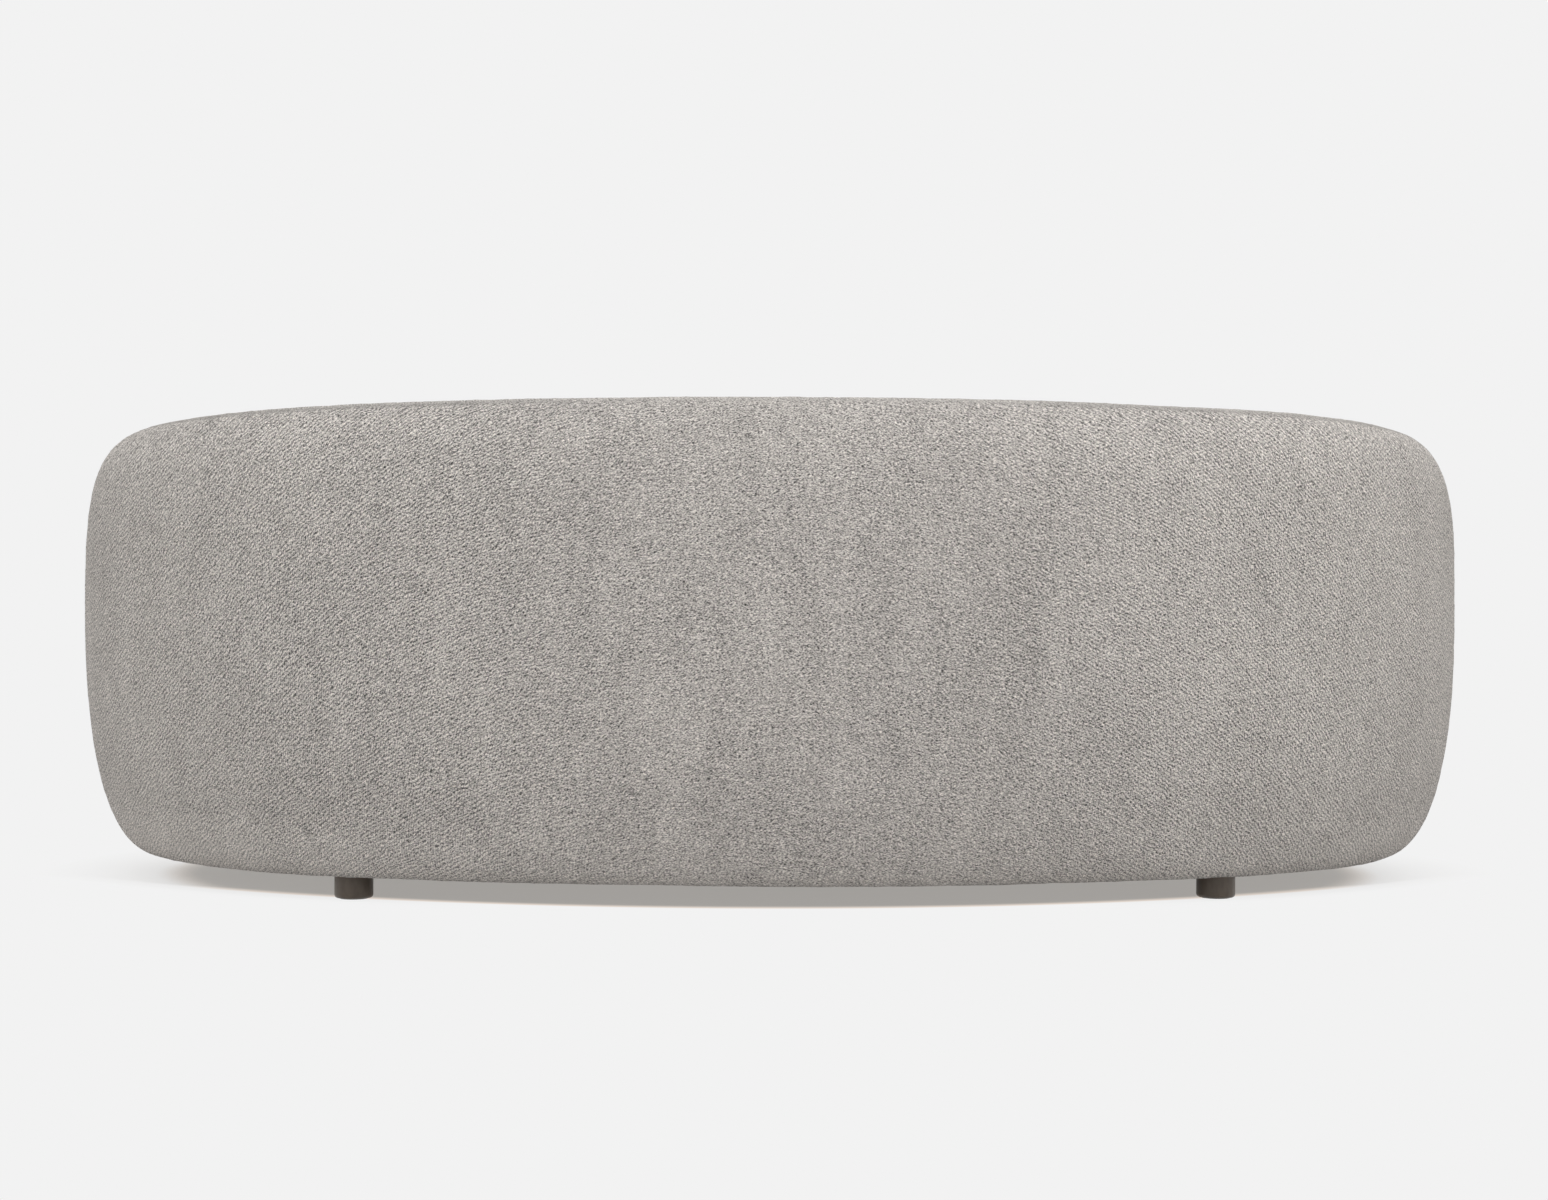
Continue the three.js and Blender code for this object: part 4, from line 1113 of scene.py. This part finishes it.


# The painted shadow on the floor: spans in metres from the hem's arcs and the sofa's front, and
# the shares of the background's brightness at both ends of each

REAR_EDGE = (-0.12, -0.07)
ARM_EDGE = (-0.065, 0.018)
FRONT_EDGE = (0.10, 0.0)
ARM_SECTOR = (-0.02, 0.06)
BEYOND_ARMS, BEYOND_ARMS_SHARES = (0.0, 0.22), (0.62, 1.0)
BEYOND_FRONT, BEYOND_FRONT_SHARES = (0.0, -0.6), (0.6, 1.0)
FAINT_EDGE, FAINT_SHARES = (-0.08, -0.01), (0.17, 0.0)
FAINT_SIDES = (0.45, 0.8)
FRINGE_EDGE = (0.8, 1.0)
PAPER = (0.80, 0.795, 0.79)
SKY_COLOUR = (1.0, 0.99, 0.975)


class SOFA_OT_studio(bpy.types.Operator):
    """Add the floor, lamp, background and camera"""

    bl_idname = "sofa.add_studio"
    bl_label = "Add Studio"

    floor_size = 30
    lamp_place = (-0.35, 1.9, 3.3)
    lamp_size = (5.0, 3.0)
    sensor_width = 36.0

    def execute(self, context):
        studio = context.scene.sofa_studio
        self.add_floor(studio)
        self.add_lamp(studio)
        self.set_world(context, studio)
        self.add_camera(context, studio)
        context.scene.view_settings.view_transform = "Standard"
        return {"FINISHED"}

    def add_floor(self, studio):
        """White paper to the light; to the eye as pale as the background, but for a painted
        shadow of glowing shade with a warm edge, and real shadow from the diffuse part beside the
        arms
        """
        deselect_all()
        bpy.ops.mesh.primitive_plane_add(size=self.floor_size)
        floor = new_piece("floor")
        finish = Finish("pale_floor")
        nodes = finish.tree.nodes
        nodes.remove(finish.shader)
        output = next(node for node in nodes if node.type == "OUTPUT_MATERIAL")

        def lit(kind, colour):
            return finish.run(kind, 0, {"Color": colour})

        past, past_rear, clear = self.clear_of_sofa(finish)
        fringe = past_rear.fit(FRINGE_EDGE).or_more(past)
        backdrop = (studio.backdrop,) * 3
        glow = lit("ShaderNodeEmission", finish.blend(fringe, tuple(studio.fringe), backdrop))
        shade = lit("ShaderNodeEmission", tuple(studio.shade))
        open_floor = lit("ShaderNodeBsdfDiffuse", tuple(studio.open_floor))
        beside = finish.run("ShaderNodeAddShader", 0, {0: shade, 1: open_floor})
        seen = finish.blend_shaders(clear, beside, glow)
        paper = lit("ShaderNodeBsdfDiffuse", PAPER)
        eye = finish.seen_by("Camera", "Glossy", "Transmission")
        finish.put(output.inputs["Surface"], finish.blend_shaders(eye, paper, seen))
        floor.data.materials.append(finish.material)

    def clear_of_sofa(self, finish):
        """Past the arms or front, past the rear, and how clear the floor is of the painted
        shadow, 0 to 1
        """
        band = bpy.context.scene.sofa_band
        x, y, _ = finish.axes()
        wide = abs(x)

        def distance(from_x, from_y):
            across, back = (wide - from_x).or_more(0.0), y - from_y
            return (across * across + back * back).calc("SQRT")

        centre = cad_high.y - band.rear_radius
        hem = band.rear_radius - band.outer_reach
        from_rear = distance(0.0, centre)
        past_rear = from_rear.fit(shifted(hem, REAR_EDGE), smooth=True)
        apart = band.rear_radius - band.arm_radius
        arm_hem = band.arm_radius - band.outer_reach
        arm_x = apart * math.sin(band.rear_turn)
        from_arms = distance(arm_x, centre + apart * math.cos(band.rear_turn))
        sideways = wide - (y - centre) * math.tan(band.rear_turn)
        past_arms = from_arms.fit(shifted(arm_hem, ARM_EDGE), smooth=True)
        past_arms = past_arms * sideways.fit(ARM_SECTOR, smooth=True)
        past = past_arms.or_more(y.fit(shifted(cad_low.y, FRONT_EDGE), smooth=True))
        beyond = from_arms.fit(shifted(arm_hem, BEYOND_ARMS), BEYOND_ARMS_SHARES)
        beyond = beyond.or_more(y.fit(shifted(cad_low.y, BEYOND_FRONT), BEYOND_FRONT_SHARES))
        faint = from_rear.fit(shifted(hem, FAINT_EDGE), FAINT_SHARES) * wide.fit(FAINT_SIDES)
        return past, past_rear, (past_rear * (1.0 - faint)).or_more(past * beyond)

    def add_lamp(self, studio):
        deselect_all()
        bpy.ops.object.light_add(type="AREA", location=self.lamp_place)
        lamp = bpy.context.object
        lamp.name = "top_lamp"
        lamp.data.shape = "RECTANGLE"
        lamp.data.size, lamp.data.size_y = self.lamp_size
        lamp.data.energy = studio.top_lamp

    def set_world(self, context, studio):
        world = bpy.data.worlds.new("studio")
        context.scene.world = world
        world.use_nodes = True
        nodes = Nodes(world.node_tree)
        light = nodes.tree.nodes["Background"]
        nodes.put(light.inputs["Color"], SKY_COLOUR)
        nodes.put(light.inputs["Strength"], studio.sky)
        backdrop = nodes.run("ShaderNodeBackground", 0, {"Color": (studio.backdrop,) * 3})
        eye = nodes.seen_by("Camera", "Transmission")
        mixed = nodes.blend_shaders(eye, Value(nodes, light.outputs[0]), backdrop)
        nodes.put(nodes.tree.nodes["World Output"].inputs["Surface"], mixed)

    def add_camera(self, context, studio):
        deselect_all()
        turn = (math.pi / 2, studio.camera_roll, studio.camera_turn)
        bpy.ops.object.camera_add(location=studio.camera_place, rotation=turn)
        camera = bpy.context.object
        camera.data.sensor_width = self.sensor_width
        camera.data.sensor_fit = "HORIZONTAL"
        camera.data.lens = studio.focal_pixels / PICTURE_WIDTH * self.sensor_width
        camera.data.shift_x = studio.axis_left / PICTURE_WIDTH
        camera.data.shift_y = studio.horizon_drop / PICTURE_WIDTH
        context.scene.camera = camera


class SOFA_PT_panel(bpy.types.Panel):
    """Buttons for the sofa's pieces"""

    bl_idname = "SOFA_PT_panel"
    bl_label = "Curved Sofa"
    bl_space_type = "VIEW_3D"
    bl_region_type = "UI"
    bl_category = "Sofa"

    def draw(self, context):
        for operator in OPERATORS:
            self.layout.operator(operator.bl_idname)


GROUPS = {
    "sofa_band": SofaBand,
    "sofa_seat": SofaSeat,
    "sofa_cloth": SofaCloth,
    "sofa_studio": SofaStudio,
}
OPERATORS = (
    SOFA_OT_band,
    SOFA_OT_apron,
    SOFA_OT_deck,
    SOFA_OT_dust_cover,
    SOFA_OT_cushion,
    SOFA_OT_feet,
    SOFA_OT_frame_finishes,
    SOFA_OT_studio,
)
CLASSES = (*GROUPS.values(), *OPERATORS, SOFA_PT_panel)


def register():
    for added in CLASSES:
        bpy.utils.register_class(added)
    for name, group in GROUPS.items():
        setattr(bpy.types.Scene, name, bpy.props.PointerProperty(type=group))


def unregister():
    for name in GROUPS:
        delattr(bpy.types.Scene, name)
    for added in reversed(CLASSES):
        bpy.utils.unregister_class(added)


def main():
    register()
    for operator in OPERATORS:
        group, name = operator.bl_idname.split(".")
        getattr(getattr(bpy.ops, group), name)()


if __name__ == "__main__":
    main()
